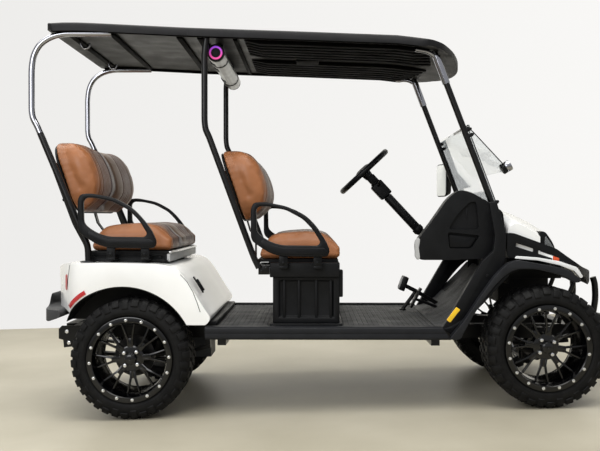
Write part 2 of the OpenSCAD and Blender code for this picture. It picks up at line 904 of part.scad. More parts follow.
module front_axle() {
    color("#2a2b2d") placed() {
        translate([wheelbase, 0, beam_z])
            rotate([90, 0, 0]) cylinder(h = 2 * (kingpin_y - 40), r = beam_r, center = true);
        both_sides() {
            span([wheelbase - 22, kingpin_y - 46, beam_z - lug_h / 2], [wheelbase + 22, kingpin_y - 30, knuckle_z1 + 3 + lug_h]);
            for (z = [beam_z - lug_h / 2, knuckle_z1 + 3])
                span([wheelbase - 22, kingpin_y - 36, z], [wheelbase + 22, kingpin_y + 22, z + lug_h]);
            translate([wheelbase, kingpin_y, beam_z]) cylinder(h = knuckle_z1 + 8 - beam_z, r = kingpin_r);
        }
    }
}

module knuckle() {
    difference() {
        union() {
            translate([wheelbase, kingpin_y, knuckle_z0]) cylinder(h = knuckle_z1 - knuckle_z0, r = knuckle_r);
            translate([wheelbase, kingpin_y, wheel_r])
                rotate([-90, 0, 0]) cylinder(h = hub_y - kingpin_y - 4, r = spindle_r);
            translate([wheelbase, kingpin_y, wheel_r])
                rotate([-90, 0, 0]) cylinder(h = 44, r = 20);
            span([wheelbase - arm_l, kingpin_y - 12, arm_z], [wheelbase, kingpin_y + 12, arm_z + 12]);
            translate([wheelbase - arm_l, kingpin_y, arm_z]) cylinder(h = 12, r = 14);
        }
        translate([wheelbase, kingpin_y, 0]) cylinder(h = 600, r = kingpin_r + pin_gap);
    }
}

module left_knuckle() {
    color("#3a3b3d") placed() knuckle();
}

module right_knuckle() {
    color("#3a3b3d") placed() mirror([0, 1, 0]) knuckle();
}

module tie_rod() {
    z = arm_z - 16;
    color("#3a3b3d") placed()
        translate([wheelbase - arm_l, 0, z]) {
            rotate([90, 0, 0]) cylinder(h = 2 * kingpin_y, r = 9, center = true);
            both_sides() translate([0, kingpin_y, -9]) cylinder(h = 25 - gap, r = 13);
        }
}

module leaf(x, low, high, reach, y) {
    translate([x, 0, 0])
        across(44, y)
            polygon(concat(
                [for (i = [-5 : 5]) [reach * i / 5, low + (high - low) * i * i / 25]],
                [for (i = [5 : -1 : -5]) [reach * i / 5, low + 16 + (high - low) * i * i / 25]]
            ));
}

spring_y = 190;

// Height over the ground of the rails' underside, less a running gap
function rail_under(x) = wheel_r + (rail_z0 - wheel_r) / cos(rake) - x * tan(rake) - gap;

// Block between a spring's end and the rail above it
module shackle(x, z) {
    across(36, spring_y)
        polygon([[x - 13, z], [x + 13, z], [x + 13, rail_under(x + 13)], [x - 13, rail_under(x - 13)]]);
}

module leaf_springs() {
    color("#313235") placed() both_sides() {
        leaf(wheelbase, beam_z + beam_r + gap, beam_z + beam_r + 6, 205, spring_y);
        leaf(0, wheel_r - 34 - 16 - gap, wheel_r - 12, 330, spring_y);
        for (x = [wheelbase - 190, wheelbase + 190]) shackle(x, beam_z + beam_r + 10);
        for (x = [-316, 316]) shackle(x, wheel_r - 8);
    }
}

module power_pack() {
    color("#55585c") raked() {
        span([-170, -300, rail_z1 + gap], [110, 300, 620]);
        span([92.6, -100, 215], [320, 100, 325]);
    }
}

// Steering column, drawn along its own axis with the wheel at its top
hub_top = [1149, 1177];

module on_column() {
    translate([hub_top[0], driver_y, hub_top[1]])
        rotate([0, 90 + column_angle, 0]) children();
}

column_l = 500;

module steering_column() {
    color("#151618") raked() fore() on_column() {
        translate([0, 0, 34]) cylinder(h = 90, r = 40);
        translate([0, 0, 60]) cylinder(h = column_l - 60, r = 21);
        translate([0, 0, -8]) cylinder(h = 60, r = 9);
    }
}

module steering_wheel() {
    spoke_l = wheel_rim_d / 2 - 40;
    color("#151618") raked() fore() on_column()
        difference() {
            union() {
                translate([0, 0, -22])
                    rotate_extrude($fn = 96) translate([wheel_rim_d / 2, 0]) circle(wheel_rim_t / 2);
                translate([0, 0, -24]) cylinder(h = 50, r = 44);
                for (a = [0, 120, 240])
                    rotate([0, 0, a])
                        span([38, -16, -24], [wheel_rim_d / 2, 16, -14]);
            }
            translate([0, 0, -12]) cylinder(h = 80, r = 9 + pin_gap);
        }
}

module pedals() {
    color("#1a1b1d") raked() fore() {
        translate([boot_at[0], boot_at[1], floor_top + gap]) cylinder(h = mat_t + 8, r = boot_r);
        difference() {
            pedal_set();
            across(900) polygon(concat(
                [[1700, 300], [1200, 300], [1200, mat_top + gap], [1440, mat_top + gap]],
                [for (i = [1 : 3]) toe_line[i] + toe_rise + [-gap, gap]]
            ));
        }
    }
}

module pedal_set() {
    // Brake: a wide pad on a straight arm, with a link down through the floor
    translate([1352, 0, 570]) rotate([0, 20, 0]) span([-14, 215, -34], [14, 305, 34]);
    tube(at_y([[1352, 560], [1420, 528], [1552, 440]], 260), 9);
    tube(at_y([[1424, 528], [1390, 480], [1340, 404]], 262), 7);
    // Accelerator: a tall pad to the right of the brake
    translate([1408, 0, 500]) rotate([0, 28, 0]) span([-7, 118, -60], [7, 172, 60]);
    tube(at_y([[1408, 492], [1450, 478], [1556, 436]], 145), 8);
}

// ---- Wheels ----

face_y = tyre_w / 2 - 8;

// A rim, its axis along y, its face towards +y
module rim_solid() {
    seat_r = rim_seat_d / 2;
    flange_r = rim_flange_d / 2;
    half = tyre_w / 2 - 6;
    rotate([-90, 0, 0]) {
        rotate_extrude($fn = 96)
            polygon([
                [seat_r - 12, -half], [flange_r, -half], [flange_r, -half + 7], [seat_r - gap, -half + 14],
                [seat_r - gap, half - 14], [flange_r, half - 7], [flange_r, half + 4], [seat_r - 14, half + 4],
                [seat_r - 16, half - 20], [seat_r - 12, half - 40]
            ]);
        // Thin paired spokes in a dished disc
        intersection() {
            rotate_extrude($fn = 96)
                polygon([
                    [20, face_y - hub_recess - 16], [62, face_y - hub_recess - 16], [seat_r - 6, face_y - 22],
                    [seat_r - 6, face_y - 4], [74, face_y - hub_recess + 12], [20, face_y - hub_recess + 12]
                ]);
            linear_extrude(height = 300, center = true) {
                circle(66);
                for (i = [0 : spoke_count / 2 - 1])
                    rotate(i * 720 / spoke_count) {
                        polygon([[40, -16], [104, -9], [104, 9], [40, 16]]);
                        for (s = [-1, 1])
                            polygon([[90, s * 1], [90, s * 10], [seat_r, s * 32], [seat_r, s * 23]]);
                    }
            }
        }
        difference() {
            union() {
                translate([0, 0, face_y - hub_recess - 70]) cylinder(h = 66, r = 50);
                translate([0, 0, face_y - hub_recess - 20]) cylinder(h = 44, r = 30);
            }
            translate([0, 0, face_y - hub_recess - 80]) cylinder(h = 76, r = spindle_r + pin_gap);
        }
    }
}

module tyre_solid() {
    seat_r = rim_seat_d / 2;
    half = tyre_w / 2;
    rotate([-90, 0, 0])
        difference() {
            rotate_extrude($fn = 128)
                polygon(concat(
                    [[seat_r, -half + 20.6], [rim_flange_d / 2 + 2, -half + 12.8]],
                    [[wheel_r - 44, -half], [wheel_r - 20, -half + 2], [wheel_r, -half + 22], [wheel_r, half - 22]],
                    [[wheel_r - 20, half - 2], [wheel_r - 44, half], [rim_flange_d / 2 + 2, half - 12.8], [seat_r, half - 20.6]]
                ));
            rotate_extrude($fn = 128)
                polygon([
                    [seat_r - 1, -half + 36], [wheel_r - 50, -half + 16], [wheel_r - 22, -half + 30],
                    [wheel_r - 22, half - 30], [wheel_r - 50, half - 16], [seat_r - 1, half - 36]
                ]);
        }
}

module wheel_place(x, side) {
    placed()
        translate([x, 0, wheel_r])
            mirror([0, side < 0 ? 1 : 0, 0])
                translate([0, half_track, 0]) children();
}

module rim(x, side) color("#101113") wheel_place(x, side) rim_solid();
module tyre(x, side) color("#232323") wheel_place(x, side) tyre_solid();

chassis_frame();
floor_pan();
floor_mat();
rear_body();
rear_seat_riser();
rear_seat_board();
rear_seat_cushion();
rear_seat_back();
front_seat_pod();
front_seat_board();
front_seat_cushion();
front_seat_back();
seat_back_shells();
front_armrests();
rear_armrests();
rear_struts();
mid_struts();
front_struts();
roof_rear();
roof_front();
sound_bar();
windshield();
side_mirror();
dash();
front_cowl();
front_trim();
headlights();
tail_lamps();
wheel_arches();
bumpers();
rear_axle();
front_axle();
leaf_springs();
power_pack();
left_knuckle();
right_knuckle();
tie_rod();
steering_column();
steering_wheel();
pedals();
rim(0, 1);  // rear_left_rim
rim(0, -1);  // rear_right_rim
rim(wheelbase, 1);  // front_left_rim
rim(wheelbase, -1);  // front_right_rim
tyre(0, 1);  // rear_left_tyre
tyre(0, -1);  // rear_right_tyre
tyre(wheelbase, 1);  // front_left_tyre
tyre(wheelbase, -1);  // front_right_tyre
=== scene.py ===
import math
from math import pi, sin, cos, radians

import bmesh
import bpy
from mathutils import Matrix, Vector
from mathutils.bvhtree import BVHTree


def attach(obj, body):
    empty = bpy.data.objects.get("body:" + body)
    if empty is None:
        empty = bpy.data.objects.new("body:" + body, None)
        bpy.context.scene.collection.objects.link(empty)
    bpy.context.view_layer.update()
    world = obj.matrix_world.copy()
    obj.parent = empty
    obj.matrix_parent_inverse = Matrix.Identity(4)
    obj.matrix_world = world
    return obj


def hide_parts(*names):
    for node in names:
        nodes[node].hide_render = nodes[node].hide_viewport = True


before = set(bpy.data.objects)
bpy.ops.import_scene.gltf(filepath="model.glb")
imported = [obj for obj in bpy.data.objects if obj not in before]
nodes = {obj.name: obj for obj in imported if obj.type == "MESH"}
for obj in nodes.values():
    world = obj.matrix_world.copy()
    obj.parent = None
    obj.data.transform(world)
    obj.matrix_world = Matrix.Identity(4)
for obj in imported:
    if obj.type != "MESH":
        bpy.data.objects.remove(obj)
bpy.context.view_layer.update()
print("frame loaded")

# the chassis is drawn level, then tipped nose down about the rear axle
stance = {"rake": radians(1.7), "centre": 0.9234, "wheelRadius": 0.28, "wheelbase": 1.93, "halfTrack": 0.495}
axleLift = Matrix.Translation((0, 0, stance["wheelRadius"]))
chassisMatrix = (
    Matrix.Translation((-stance["centre"], 0, 0)) @ axleLift
    @ Matrix.Rotation(stance["rake"], 4, "Y") @ axleLift.inverted()
)


# small tools

def deselect():
    bpy.ops.object.select_all(action="DESELECT")


def activate(obj):
    deselect()
    obj.select_set(True)
    bpy.context.view_layer.objects.active = obj


def edit(obj):
    activate(obj)
    bpy.ops.object.mode_set(mode="EDIT")


def leave():
    bpy.ops.object.mode_set(mode="OBJECT")
    bpy.context.tool_settings.mesh_select_mode = (True, False, False)


def applyAll(obj):
    activate(obj)
    for modifier in list(obj.modifiers):
        bpy.ops.object.modifier_apply(modifier=modifier.name)


def settle(obj):
    # moves an object's place into its mesh
    activate(obj)
    bpy.ops.object.transform_apply(location=True, rotation=True, scale=True)


def setAt(obj, spot, *turns):
    # sets down a piece that was drawn at the origin, after turns of (angle, axis)
    place = Matrix.Translation(spot)
    for angle, axis in turns:
        place = place @ Matrix.Rotation(angle, 4, axis)
    obj.matrix_world = place
    settle(obj)
    return obj


def turnAll(obj, *turns):
    # turns the whole mesh by each (angle, axis, centre)
    edit(obj)
    bpy.ops.mesh.select_all(action="SELECT")
    for angle, axis, centre in turns:
        bpy.ops.transform.rotate(value=angle, orient_axis=axis, center_override=centre)
    leave()
    return obj


def splitAt(obj, axis, spots):
    # cuts a mesh across one axis at each spot, so that it can be bent there
    normal = [float(k == axis) for k in range(3)]
    edit(obj)
    for spot in spots:
        bpy.ops.mesh.select_all(action="SELECT")
        bpy.ops.mesh.bisect(plane_co=[n * spot for n in normal], plane_no=normal)
    leave()


def outward(obj):
    edit(obj)
    bpy.ops.mesh.select_all(action="SELECT")
    bpy.ops.mesh.remove_doubles(threshold=0.00005)
    bpy.ops.mesh.normals_make_consistent(inside=False)
    leave()


def shade(obj, angle=38):
    activate(obj)
    bpy.ops.object.shade_smooth_by_angle(angle=radians(angle))


def join(parts):
    deselect()
    for part in parts:
        part.select_set(True)
    bpy.context.view_layer.objects.active = parts[0]
    if len(parts) > 1:
        bpy.ops.object.join()
    return bpy.context.view_layer.objects.active


def copyOf(obj):
    twin = obj.copy()
    twin.data = obj.data.copy()
    bpy.context.collection.objects.link(twin)
    return twin


def softEdges(obj, width, segments=3, angle=32, smooth=38):
    bevel = obj.modifiers.new("edges", "BEVEL")
    bevel.width = width
    bevel.segments = segments
    bevel.limit_method = "ANGLE"
    bevel.angle_limit = radians(angle)
    applyAll(obj)
    shade(obj, smooth)
    return obj


def carve(obj, cutter, operation="DIFFERENCE"):
    cut = obj.modifiers.new("cut", "BOOLEAN")
    cut.operation = operation
    cut.solver = "EXACT"
    cut.object = cutter
    applyAll(obj)
    bpy.data.objects.remove(cutter)
    return obj


def pickFaces(obj, test):
    # selects the faces whose middle and normal pass the test, in edit mode
    bpy.context.tool_settings.mesh_select_mode = (False, False, True)
    bpy.ops.mesh.select_all(action="DESELECT")
    mesh = bmesh.from_edit_mesh(obj.data)
    for face in mesh.faces:
        face.select = test(face.calc_center_median(), face.normal)
    mesh.select_flush_mode()
    bmesh.update_edit_mesh(obj.data)


def pickEdges(obj, test):
    bpy.context.tool_settings.mesh_select_mode = (False, True, False)
    bpy.ops.mesh.select_all(action="DESELECT")
    mesh = bmesh.from_edit_mesh(obj.data)
    for edge in mesh.edges:
        edge.select = test(edge.verts[0].co, edge.verts[1].co)
    mesh.select_flush_mode()
    bmesh.update_edit_mesh(obj.data)


def millimetres(points):
    return [tuple(value / 1000 for value in point) for point in points]


def rounded(points, radius, steps=5, closed=True):
    # each corner of a line of points becomes a short curve
    count = len(points)
    line = []
    for i, point in enumerate(points):
        here = Vector(point)
        if not closed and i in (0, count - 1):
            line.append(tuple(here))
            continue
        before, after = Vector(points[i - 1]), Vector(points[(i + 1) % count])
        reach = min(radius, (before - here).length * 0.48, (after - here).length * 0.48)
        a = here + (before - here).normalized() * reach
        b = here + (after - here).normalized() * reach
        for k in range(steps + 1):
            t = k / steps
            line.append(tuple((1 - t) ** 2 * a + 2 * t * (1 - t) * here + t * t * b))
    return line


def drawLoop(points, place):
    # one vertex is extruded from point to point, then the loop is closed
    deselect()
    first = place(points[0])
    bpy.ops.mesh.primitive_plane_add(size=0.001, location=first)
    obj = bpy.context.active_object
    bpy.ops.object.mode_set(mode="EDIT")
    bpy.ops.mesh.merge(type="CENTER")
    last = Vector(first)
    for point in points[1:]:
        spot = Vector(place(point))
        bpy.ops.mesh.extrude_vertices_move(TRANSFORM_OT_translate={"value": tuple(spot - last)})
        last = spot
    bpy.ops.mesh.select_all(action="SELECT")
    bpy.ops.mesh.edge_face_add()
    leave()
    settle(obj)
    return obj


def pushed(points, place, move):
    obj = drawLoop(points, place)
    edit(obj)
    bpy.ops.mesh.select_all(action="SELECT")
    bpy.ops.mesh.extrude_region_move(TRANSFORM_OT_translate={"value": move})
    leave()
    outward(obj)
    return obj


def slab(points, y0, y1):
    # a side outline (x, z) extruded across the cart from y0 to y1
    return pushed(points, lambda p: (p[0], y0, p[1]), (0, y1 - y0, 0))


def planSlab(points, z0, z1):
    # a plan outline (x, y) extruded upwards
    return pushed(points, lambda p: (p[0], p[1], z0), (0, 0, z1 - z0))


def frontSlab(points, x0, x1):
    # a front outline (y, z) extruded along the cart
    return pushed(points, lambda p: (x0, p[0], p[1]), (x1 - x0, 0, 0))


def block(low, high, bevel=0.0, segments=2):
    deselect()
    middle = [(a + b) / 2 for a, b in zip(low, high)]
    bpy.ops.mesh.primitive_cube_add(size=1, location=middle, scale=[b - a for a, b in zip(low, high)])
    obj = bpy.context.active_object
    settle(obj)
    if bevel:
        softEdges(obj, bevel, segments)
    return obj


def blockMm(low, high, bevel=0.0, segments=2):
    return block([v / 1000 for v in low], [v / 1000 for v in high], bevel / 1000, segments)


def disc(centre, radius, length, axis="Y", sides=32, bevel=0.0):
    deselect()
    turn = {"X": (0, pi / 2, 0), "Y": (pi / 2, 0, 0), "Z": (0, 0, 0)}[axis]
    bpy.ops.mesh.primitive_cylinder_add(vertices=sides, radius=radius, depth=length, location=centre,
                                        rotation=turn)
    obj = bpy.context.active_object
    settle(obj)
    if bevel:
        softEdges(obj, bevel, 2, 50)
    else:
        shade(obj, 40)
    return obj


def turned(profile, steps):
    # a closed profile of (y, radius) spun about the y axis
    obj = drawLoop(profile, lambda p: (0, p[0], p[1]))
    edit(obj)
    bpy.ops.mesh.select_all(action="SELECT")
    bpy.ops.mesh.delete(type="ONLY_FACE")
    bpy.ops.mesh.select_all(action="SELECT")
    bpy.ops.mesh.spin(steps=steps, angle=2 * pi, center=(0, 0, 0), axis=(0, 1, 0))
    leave()
    outward(obj)
    return obj


def aroundY(obj, count, total=2 * pi):
    # repeats the whole mesh round the y axis
    edit(obj)
    bpy.ops.mesh.select_all(action="SELECT")
    bpy.ops.mesh.spin(
        steps=count - 1, dupli=True, angle=total * (count - 1) / count, center=(0, 0, 0), axis=(0, 1, 0)
    )
    leave()
    return obj


def tube(points, radius, sides=5, closed=False):
    # a round tube along a line of points
    curve = bpy.data.curves.new("tube", "CURVE")
    curve.dimensions = "3D"
    spline = curve.splines.new("POLY")
    spline.points.add(len(points) - 1)
    for spot, point in zip(spline.points, points):
        spot.co = (*point, 1)
    spline.use_cyclic_u = closed
    curve.bevel_depth = radius
    curve.bevel_resolution = sides
    curve.use_fill_caps = not closed
    obj = bpy.data.objects.new("tube", curve)
    bpy.context.collection.objects.link(obj)
    activate(obj)
    bpy.ops.object.convert(target="MESH")
    obj = bpy.context.active_object
    outward(obj)
    shade(obj, 40)
    return obj


def sideTube(points, y, radius, sides=5):
    # a tube along points (x, z) in millimetres, at one y in metres
    return tube([(x / 1000, y, z / 1000) for x, z in points], radius, sides)


def bentTube(points, y, radius, bend, sides=5):
    line = rounded(millimetres(points), bend, 6, closed=False)
    return tube([(x, y, z) for x, z in line], radius, sides)


def mirrored(obj):
    # a copy on the other side of the cart
    twin = copyOf(obj)
    twin.scale = (1, -1, 1)
    settle(twin)
    edit(twin)
    bpy.ops.mesh.select_all(action="SELECT")
    bpy.ops.mesh.normals_make_consistent(inside=False)
    leave()
    return twin


def bothSides(obj):
    return join([obj, mirrored(obj)])


def dress(obj, material):
    obj.data.materials.clear()
    obj.data.materials.append(material)
    return obj


def keep(obj, name, body, material=None, stands=(), raked=True):
    # names a finished piece, places it on the chassis and lets it ride
    obj.name = name
    obj.data.name = name
    if material:
        dress(obj, material)
    if raked:
        obj.matrix_world = chassisMatrix @ obj.matrix_world
    settle(obj)
    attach(obj, body)
    if stands:
        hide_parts(*stands)
    return obj


# materials

def toLinear(code):
    values = [int(code[i:i + 2], 16) / 255 for i in (1, 3, 5)]
    return [v / 12.92 if v <= 0.04045 else ((v + 0.055) / 1.055) ** 2.4 for v in values] + [1]


def addNode(tree, kind, settings=None, **links):
    # settings are the node's own options and inputs, links are sockets to join to its inputs
    node = tree.nodes.new(kind)
    for key, value in (settings or {}).items():
        if isinstance(key, str) and hasattr(node, key):
            setattr(node, key, value)
        else:
            node.inputs[key].default_value = value
    for key, socket in links.items():
        name = key.replace("_", " ")
        target = node.inputs[int(name[1:])] if name[0] == "i" and name[1:].isdigit() else node.inputs[name]
        tree.links.new(socket, target)
    return node


def newMaterial(name, colour, roughness, metallic=0.0, **sockets):
    material = bpy.data.materials.new(name)
    material.use_nodes = True
    tree = material.node_tree
    shader = tree.nodes["Principled BSDF"]
    shader.inputs["Base Color"].default_value = toLinear(colour)
    shader.inputs["Roughness"].default_value = roughness
    shader.inputs["Metallic"].default_value = metallic
    for key, value in sockets.items():
        shader.inputs[key.replace("_", " ")].default_value = value
    return material, tree, shader


def grainBump(tree, shader, size, strength, distance, kind="voronoi"):
    # surface grain of one feature per size metres
    place = addNode(tree, "ShaderNodeTexCoord")
    if kind == "voronoi":
        grain = addNode(tree, "ShaderNodeTexVoronoi", {"Scale": 1 / size}, Vector=place.outputs["Object"])
        height = grain.outputs["Distance"]
    else:
        grain = addNode(tree, "ShaderNodeTexNoise", {"Scale": 1 / size, "Detail": 3.0},
                        Vector=place.outputs["Object"])
        height = grain.outputs["Fac"]
    bump = addNode(tree, "ShaderNodeBump", {"Strength": strength, "Distance": distance}, Height=height)
    tree.links.new(bump.outputs["Normal"], shader.inputs["Normal"])
    return place


def patchyRoughness(tree, shader, place, size, low, high):
    # handling and dust change the gloss from patch to patch
    cloud = addNode(
        tree, "ShaderNodeTexNoise", {"Scale": 1 / size, "Detail": 4.0}, Vector=place.outputs["Object"]
    )
    spread = addNode(
        tree, "ShaderNodeMapRange",
        {"From Min": 0.3, "From Max": 0.7, "To Min": low, "To Max": high},
        Value=cloud.outputs["Fac"],
    )
    tree.links.new(spread.outputs["Result"], shader.inputs["Roughness"])


def patchyColour(tree, shader, place, size, first, second):
    cloud = addNode(
        tree, "ShaderNodeTexNoise", {"Scale": 1 / size, "Detail": 5.0}, Vector=place.outputs["Object"]
    )
    ramp = addNode(tree, "ShaderNodeValToRGB", {}, Fac=cloud.outputs["Fac"])
    for element, spot, colour in zip(ramp.color_ramp.elements, (0.35, 0.68), (first, second)):
        element.position = spot
        element.color = toLinear(colour)
    tree.links.new(ramp.outputs["Color"], shader.inputs["Base Color"])


def makeGlossWhite():
    # thermoformed ABS with an acrylic cap: deep gloss, faint waviness
    material, tree, shader = newMaterial("white acrylic capped ABS", "#F0F1F1", 0.22, Coat_Weight=0.6,
                                         Coat_Roughness=0.05)
    place = grainBump(tree, shader, 0.09, 0.12, 0.004, "noise")
    patchyColour(tree, shader, place, 0.35, "#ECEDED", "#F4F5F5")
    return material


def makeGrainedBlack(name, dark, light, roughness, grain=0.0022, shine=0.16):
    # injection moulded polypropylene: leather grain, drawn at 2 mm so that it shows
    material, tree, shader = newMaterial(name, dark, roughness, Specular_IOR_Level=shine)
    place = grainBump(tree, shader, grain, 0.35, 0.0006)
    patchyColour(tree, shader, place, 0.06, dark, light)
    patchyRoughness(tree, shader, place, 0.12, roughness - 0.08, roughness + 0.08)
    return material


def makePowderCoat():
    # satin black powder coat on steel tube: tight orange peel
    material, tree, shader = newMaterial("black powder coated steel", "#08080A", 0.36,
                                         Specular_IOR_Level=0.25, Coat_Weight=0.1, Coat_Roughness=0.2)
    place = grainBump(tree, shader, 0.004, 0.15, 0.0005, "noise")
    patchyRoughness(tree, shader, place, 0.1, 0.28, 0.42)
    return material


def makeChrome():
    # polished stainless tube: mirror bright with a few fine wipe marks
    material, tree, shader = newMaterial("polished stainless steel", "#A0A1A8", 0.12, 1.0)
    place = addNode(tree, "ShaderNodeTexCoord")
    patchyRoughness(tree, shader, place, 0.05, 0.07, 0.16)
    return material


def makeZinc():
    # bright zinc plated bolts: pale, a little clouded
    material, tree, shader = newMaterial("zinc plated steel", "#DADBDC", 0.26, 1.0)
    place = grainBump(tree, shader, 0.003, 0.1, 0.0002, "noise")
    patchyRoughness(tree, shader, place, 0.01, 0.2, 0.34)
    return material


def makeRimBlack():
    # gloss black enamel on cast aluminium: wet looking, slight flow marks
    material, tree, shader = newMaterial("gloss black enamelled aluminium", "#020203", 0.18, Coat_Weight=0.3,
                                         Coat_Roughness=0.06,
                                         Specular_IOR_Level=0.3)
    place = grainBump(tree, shader, 0.012, 0.08, 0.0006, "noise")
    patchyRoughness(tree, shader, place, 0.08, 0.12, 0.22)
    return material


def makeTyre():
    # carbon black tyre rubber: dull, a little dust in random patches
    material, tree, shader = newMaterial("tyre rubber", "#0D0D0E", 0.6, Specular_IOR_Level=0.16)
    place = grainBump(tree, shader, 0.003, 0.4, 0.0006, "noise")
    patchyColour(tree, shader, place, 0.03, "#0B0B0C", "#131313")
    patchyRoughness(tree, shader, place, 0.05, 0.5, 0.74)
    return material


def makeVinyl():
    # marine vinyl sewn in bands across the seat, with painted shade and a painted highlight among the band
    # colours; grain 2 mm, pleats and stitches show as lines
    material, tree, shader = newMaterial("sewn marine vinyl, painted shade and highlight", "#A56F45", 0.42, Specular_IOR_Level=0.35)
    place = addNode(tree, "ShaderNodeTexCoord")
    split = addNode(tree, "ShaderNodeSeparateXYZ", {}, Vector=place.outputs["Object"])
    across = addNode(
        tree, "ShaderNodeMapRange",
        {"From Min": -0.5, "From Max": 0.5, "To Min": 0.0, "To Max": 1.0},
        Value=split.outputs["Y"],
    )
    # the ramp lays down the band colours, painted shade and a painted highlight among them
    ramp = addNode(tree, "ShaderNodeValToRGB", {}, Fac=across.outputs["Result"])
    ramp.color_ramp.interpolation = "CONSTANT"
    elements = ramp.color_ramp.elements
    elements[0].position = 0.0
    elements[0].color = toLinear(vinylBandsAndPaintedLight[0][1])
    elements[1].position = vinylBandsAndPaintedLight[1][0] + 0.5
    elements[1].color = toLinear(vinylBandsAndPaintedLight[1][1])
    for edge, colour in vinylBandsAndPaintedLight[2:]:
        spot = elements.new(edge + 0.5)
        spot.color = toLinear(colour)
    cloud = addNode(tree, "ShaderNodeTexNoise", {"Scale": 9.0, "Detail": 6.0}, Vector=place.outputs["Object"])
    shadeBand = addNode(
        tree, "ShaderNodeMapRange",
        {"From Min": 0.3, "From Max": 0.7, "To Min": 0.86, "To Max": 1.1}, Value=cloud.outputs["Fac"],
    )
    tone = addNode(
        tree, "ShaderNodeHueSaturation", {"Saturation": 1.0, "Hue": 0.5, "Fac": 1.0},
        Color=ramp.outputs["Color"], Value=shadeBand.outputs["Result"],
    )
    tree.links.new(tone.outputs["Color"], shader.inputs["Base Color"])
    grain = addNode(
        tree, "ShaderNodeTexVoronoi", {"feature": "DISTANCE_TO_EDGE", "Scale": 450.0},
        Vector=place.outputs["Object"],
    )
    crease = addNode(tree, "ShaderNodeTexNoise", {"Scale": 40.0, "Detail": 5.0}, Vector=place.outputs["Object"])
    low = addNode(
        tree, "ShaderNodeBump", {"Strength": 0.22, "Distance": 0.0008}, Height=grain.outputs["Distance"],
    )
    high = addNode(
        tree, "ShaderNodeBump", {"Strength": 0.15, "Distance": 0.003},
        Height=crease.outputs["Fac"], Normal=low.outputs["Normal"],
    )
    tree.links.new(high.outputs["Normal"], shader.inputs["Normal"])
    patchyRoughness(tree, shader, place, 0.07, 0.34, 0.5)
    return material


def makePane():
    # clear acrylic sheet, 5 mm: nearly invisible face on, pale at its edges
    material, tree, shader = newMaterial(
        "clear acrylic sheet", "#F4F8F9", 0.03, IOR=1.49, Transmission_Weight=1.0
    )
    place = addNode(tree, "ShaderNodeTexCoord")
    patchyRoughness(tree, shader, place, 0.2, 0.01, 0.06)
    return material


def makeLens(name, colour, weight):
    # moulded polycarbonate lens
    material, tree, shader = newMaterial(name, colour, 0.08, IOR=1.58, Transmission_Weight=weight,
                                         Coat_Weight=0.5)
    grainBump(tree, shader, 0.006, 0.2, 0.0006)
    return material


def makeMat():
    # ribbed EPDM floor rubber: fine cross ribs, scuffed paler in random patches
    material, tree, shader = newMaterial("ribbed floor rubber", "#2A2B2D", 0.68)
    place = addNode(tree, "ShaderNodeTexCoord")
    split = addNode(tree, "ShaderNodeSeparateXYZ", {}, Vector=place.outputs["Object"])
    ridge = addNode(tree, "ShaderNodeMath", {"operation": "MULTIPLY", 1: 2 * pi / 0.012}, i0=split.outputs["Y"])
    wave = addNode(tree, "ShaderNodeMath", {"operation": "SINE"}, i0=ridge.outputs[0])
    bump = addNode(tree, "ShaderNodeBump", {"Strength": 0.4, "Distance": 0.0012}, Height=wave.outputs[0])
    tree.links.new(bump.outputs["Normal"], shader.inputs["Normal"])
    patchyColour(tree, shader, place, 0.14, "#262729", "#38393A")
    patchyRoughness(tree, shader, place, 0.1, 0.55, 0.78)
    return material


def makeBarGrey():
    # anodised aluminium extrusion: pale, soft lengthwise brushing
    material, tree, shader = newMaterial("anodised aluminium", "#9C9D9E", 0.36, 0.85)
    place = addNode(tree, "ShaderNodeTexCoord")
    stretch = addNode(tree, "ShaderNodeMapping", {"Scale": (900.0, 8.0, 900.0)}, Vector=place.outputs["Object"])
    brush = addNode(tree, "ShaderNodeTexNoise", {"Scale": 1.0, "Detail": 3.0}, Vector=stretch.outputs["Vector"])
    bump = addNode(tree, "ShaderNodeBump", {"Strength": 0.12, "Distance": 0.0003}, Height=brush.outputs["Fac"])
    tree.links.new(bump.outputs["Normal"], shader.inputs["Normal"])
    patchyRoughness(tree, shader, place, 0.06, 0.3, 0.42)
    return material


def makeLightRing():
    # diode ring behind a milky diffuser: violet at its top, pink at its foot
    material, tree, shader = newMaterial("lit diffuser ring", "#7A3BD0", 0.4, Emission_Strength=0.5)
    place = addNode(tree, "ShaderNodeTexCoord")
    split = addNode(tree, "ShaderNodeSeparateXYZ", {}, Vector=place.outputs["Object"])
    rise = addNode(
        tree, "ShaderNodeMapRange", {"From Min": 1.69, "From Max": 1.75}, Value=split.outputs["Z"],
    )
    ramp = addNode(tree, "ShaderNodeValToRGB", {}, Fac=rise.outputs["Result"])
    ramp.color_ramp.elements[0].color = toLinear("#E0489A")
    ramp.color_ramp.elements[1].color = toLinear("#6A3BE0")
    tree.links.new(ramp.outputs["Color"], shader.inputs["Base Color"])
    tree.links.new(ramp.outputs["Color"], shader.inputs["Emission Color"])
    return material


# where each band of colour starts, in metres across the seat, and its colour: sewn vinyl bands, with painted
# shade in the dark plum band from -0.162 (the shadowed valley between the lobes) and in the brown band from 0.33
# (the shaded far side), and a painted highlight in the pale band from -0.372
vinylBandsAndPaintedLight = [
    (-0.5, "#9A6440"), (-0.402, "#7C5237"), (-0.372, "#876450"), (-0.338, "#6C4A3A"), (-0.162, "#45292B"),
    (-0.03, "#5A4036"), (0.03, "#877061"), (0.128, "#6C4B3F"), (0.33, "#68462F"), (0.402, "#9A6440"),
]

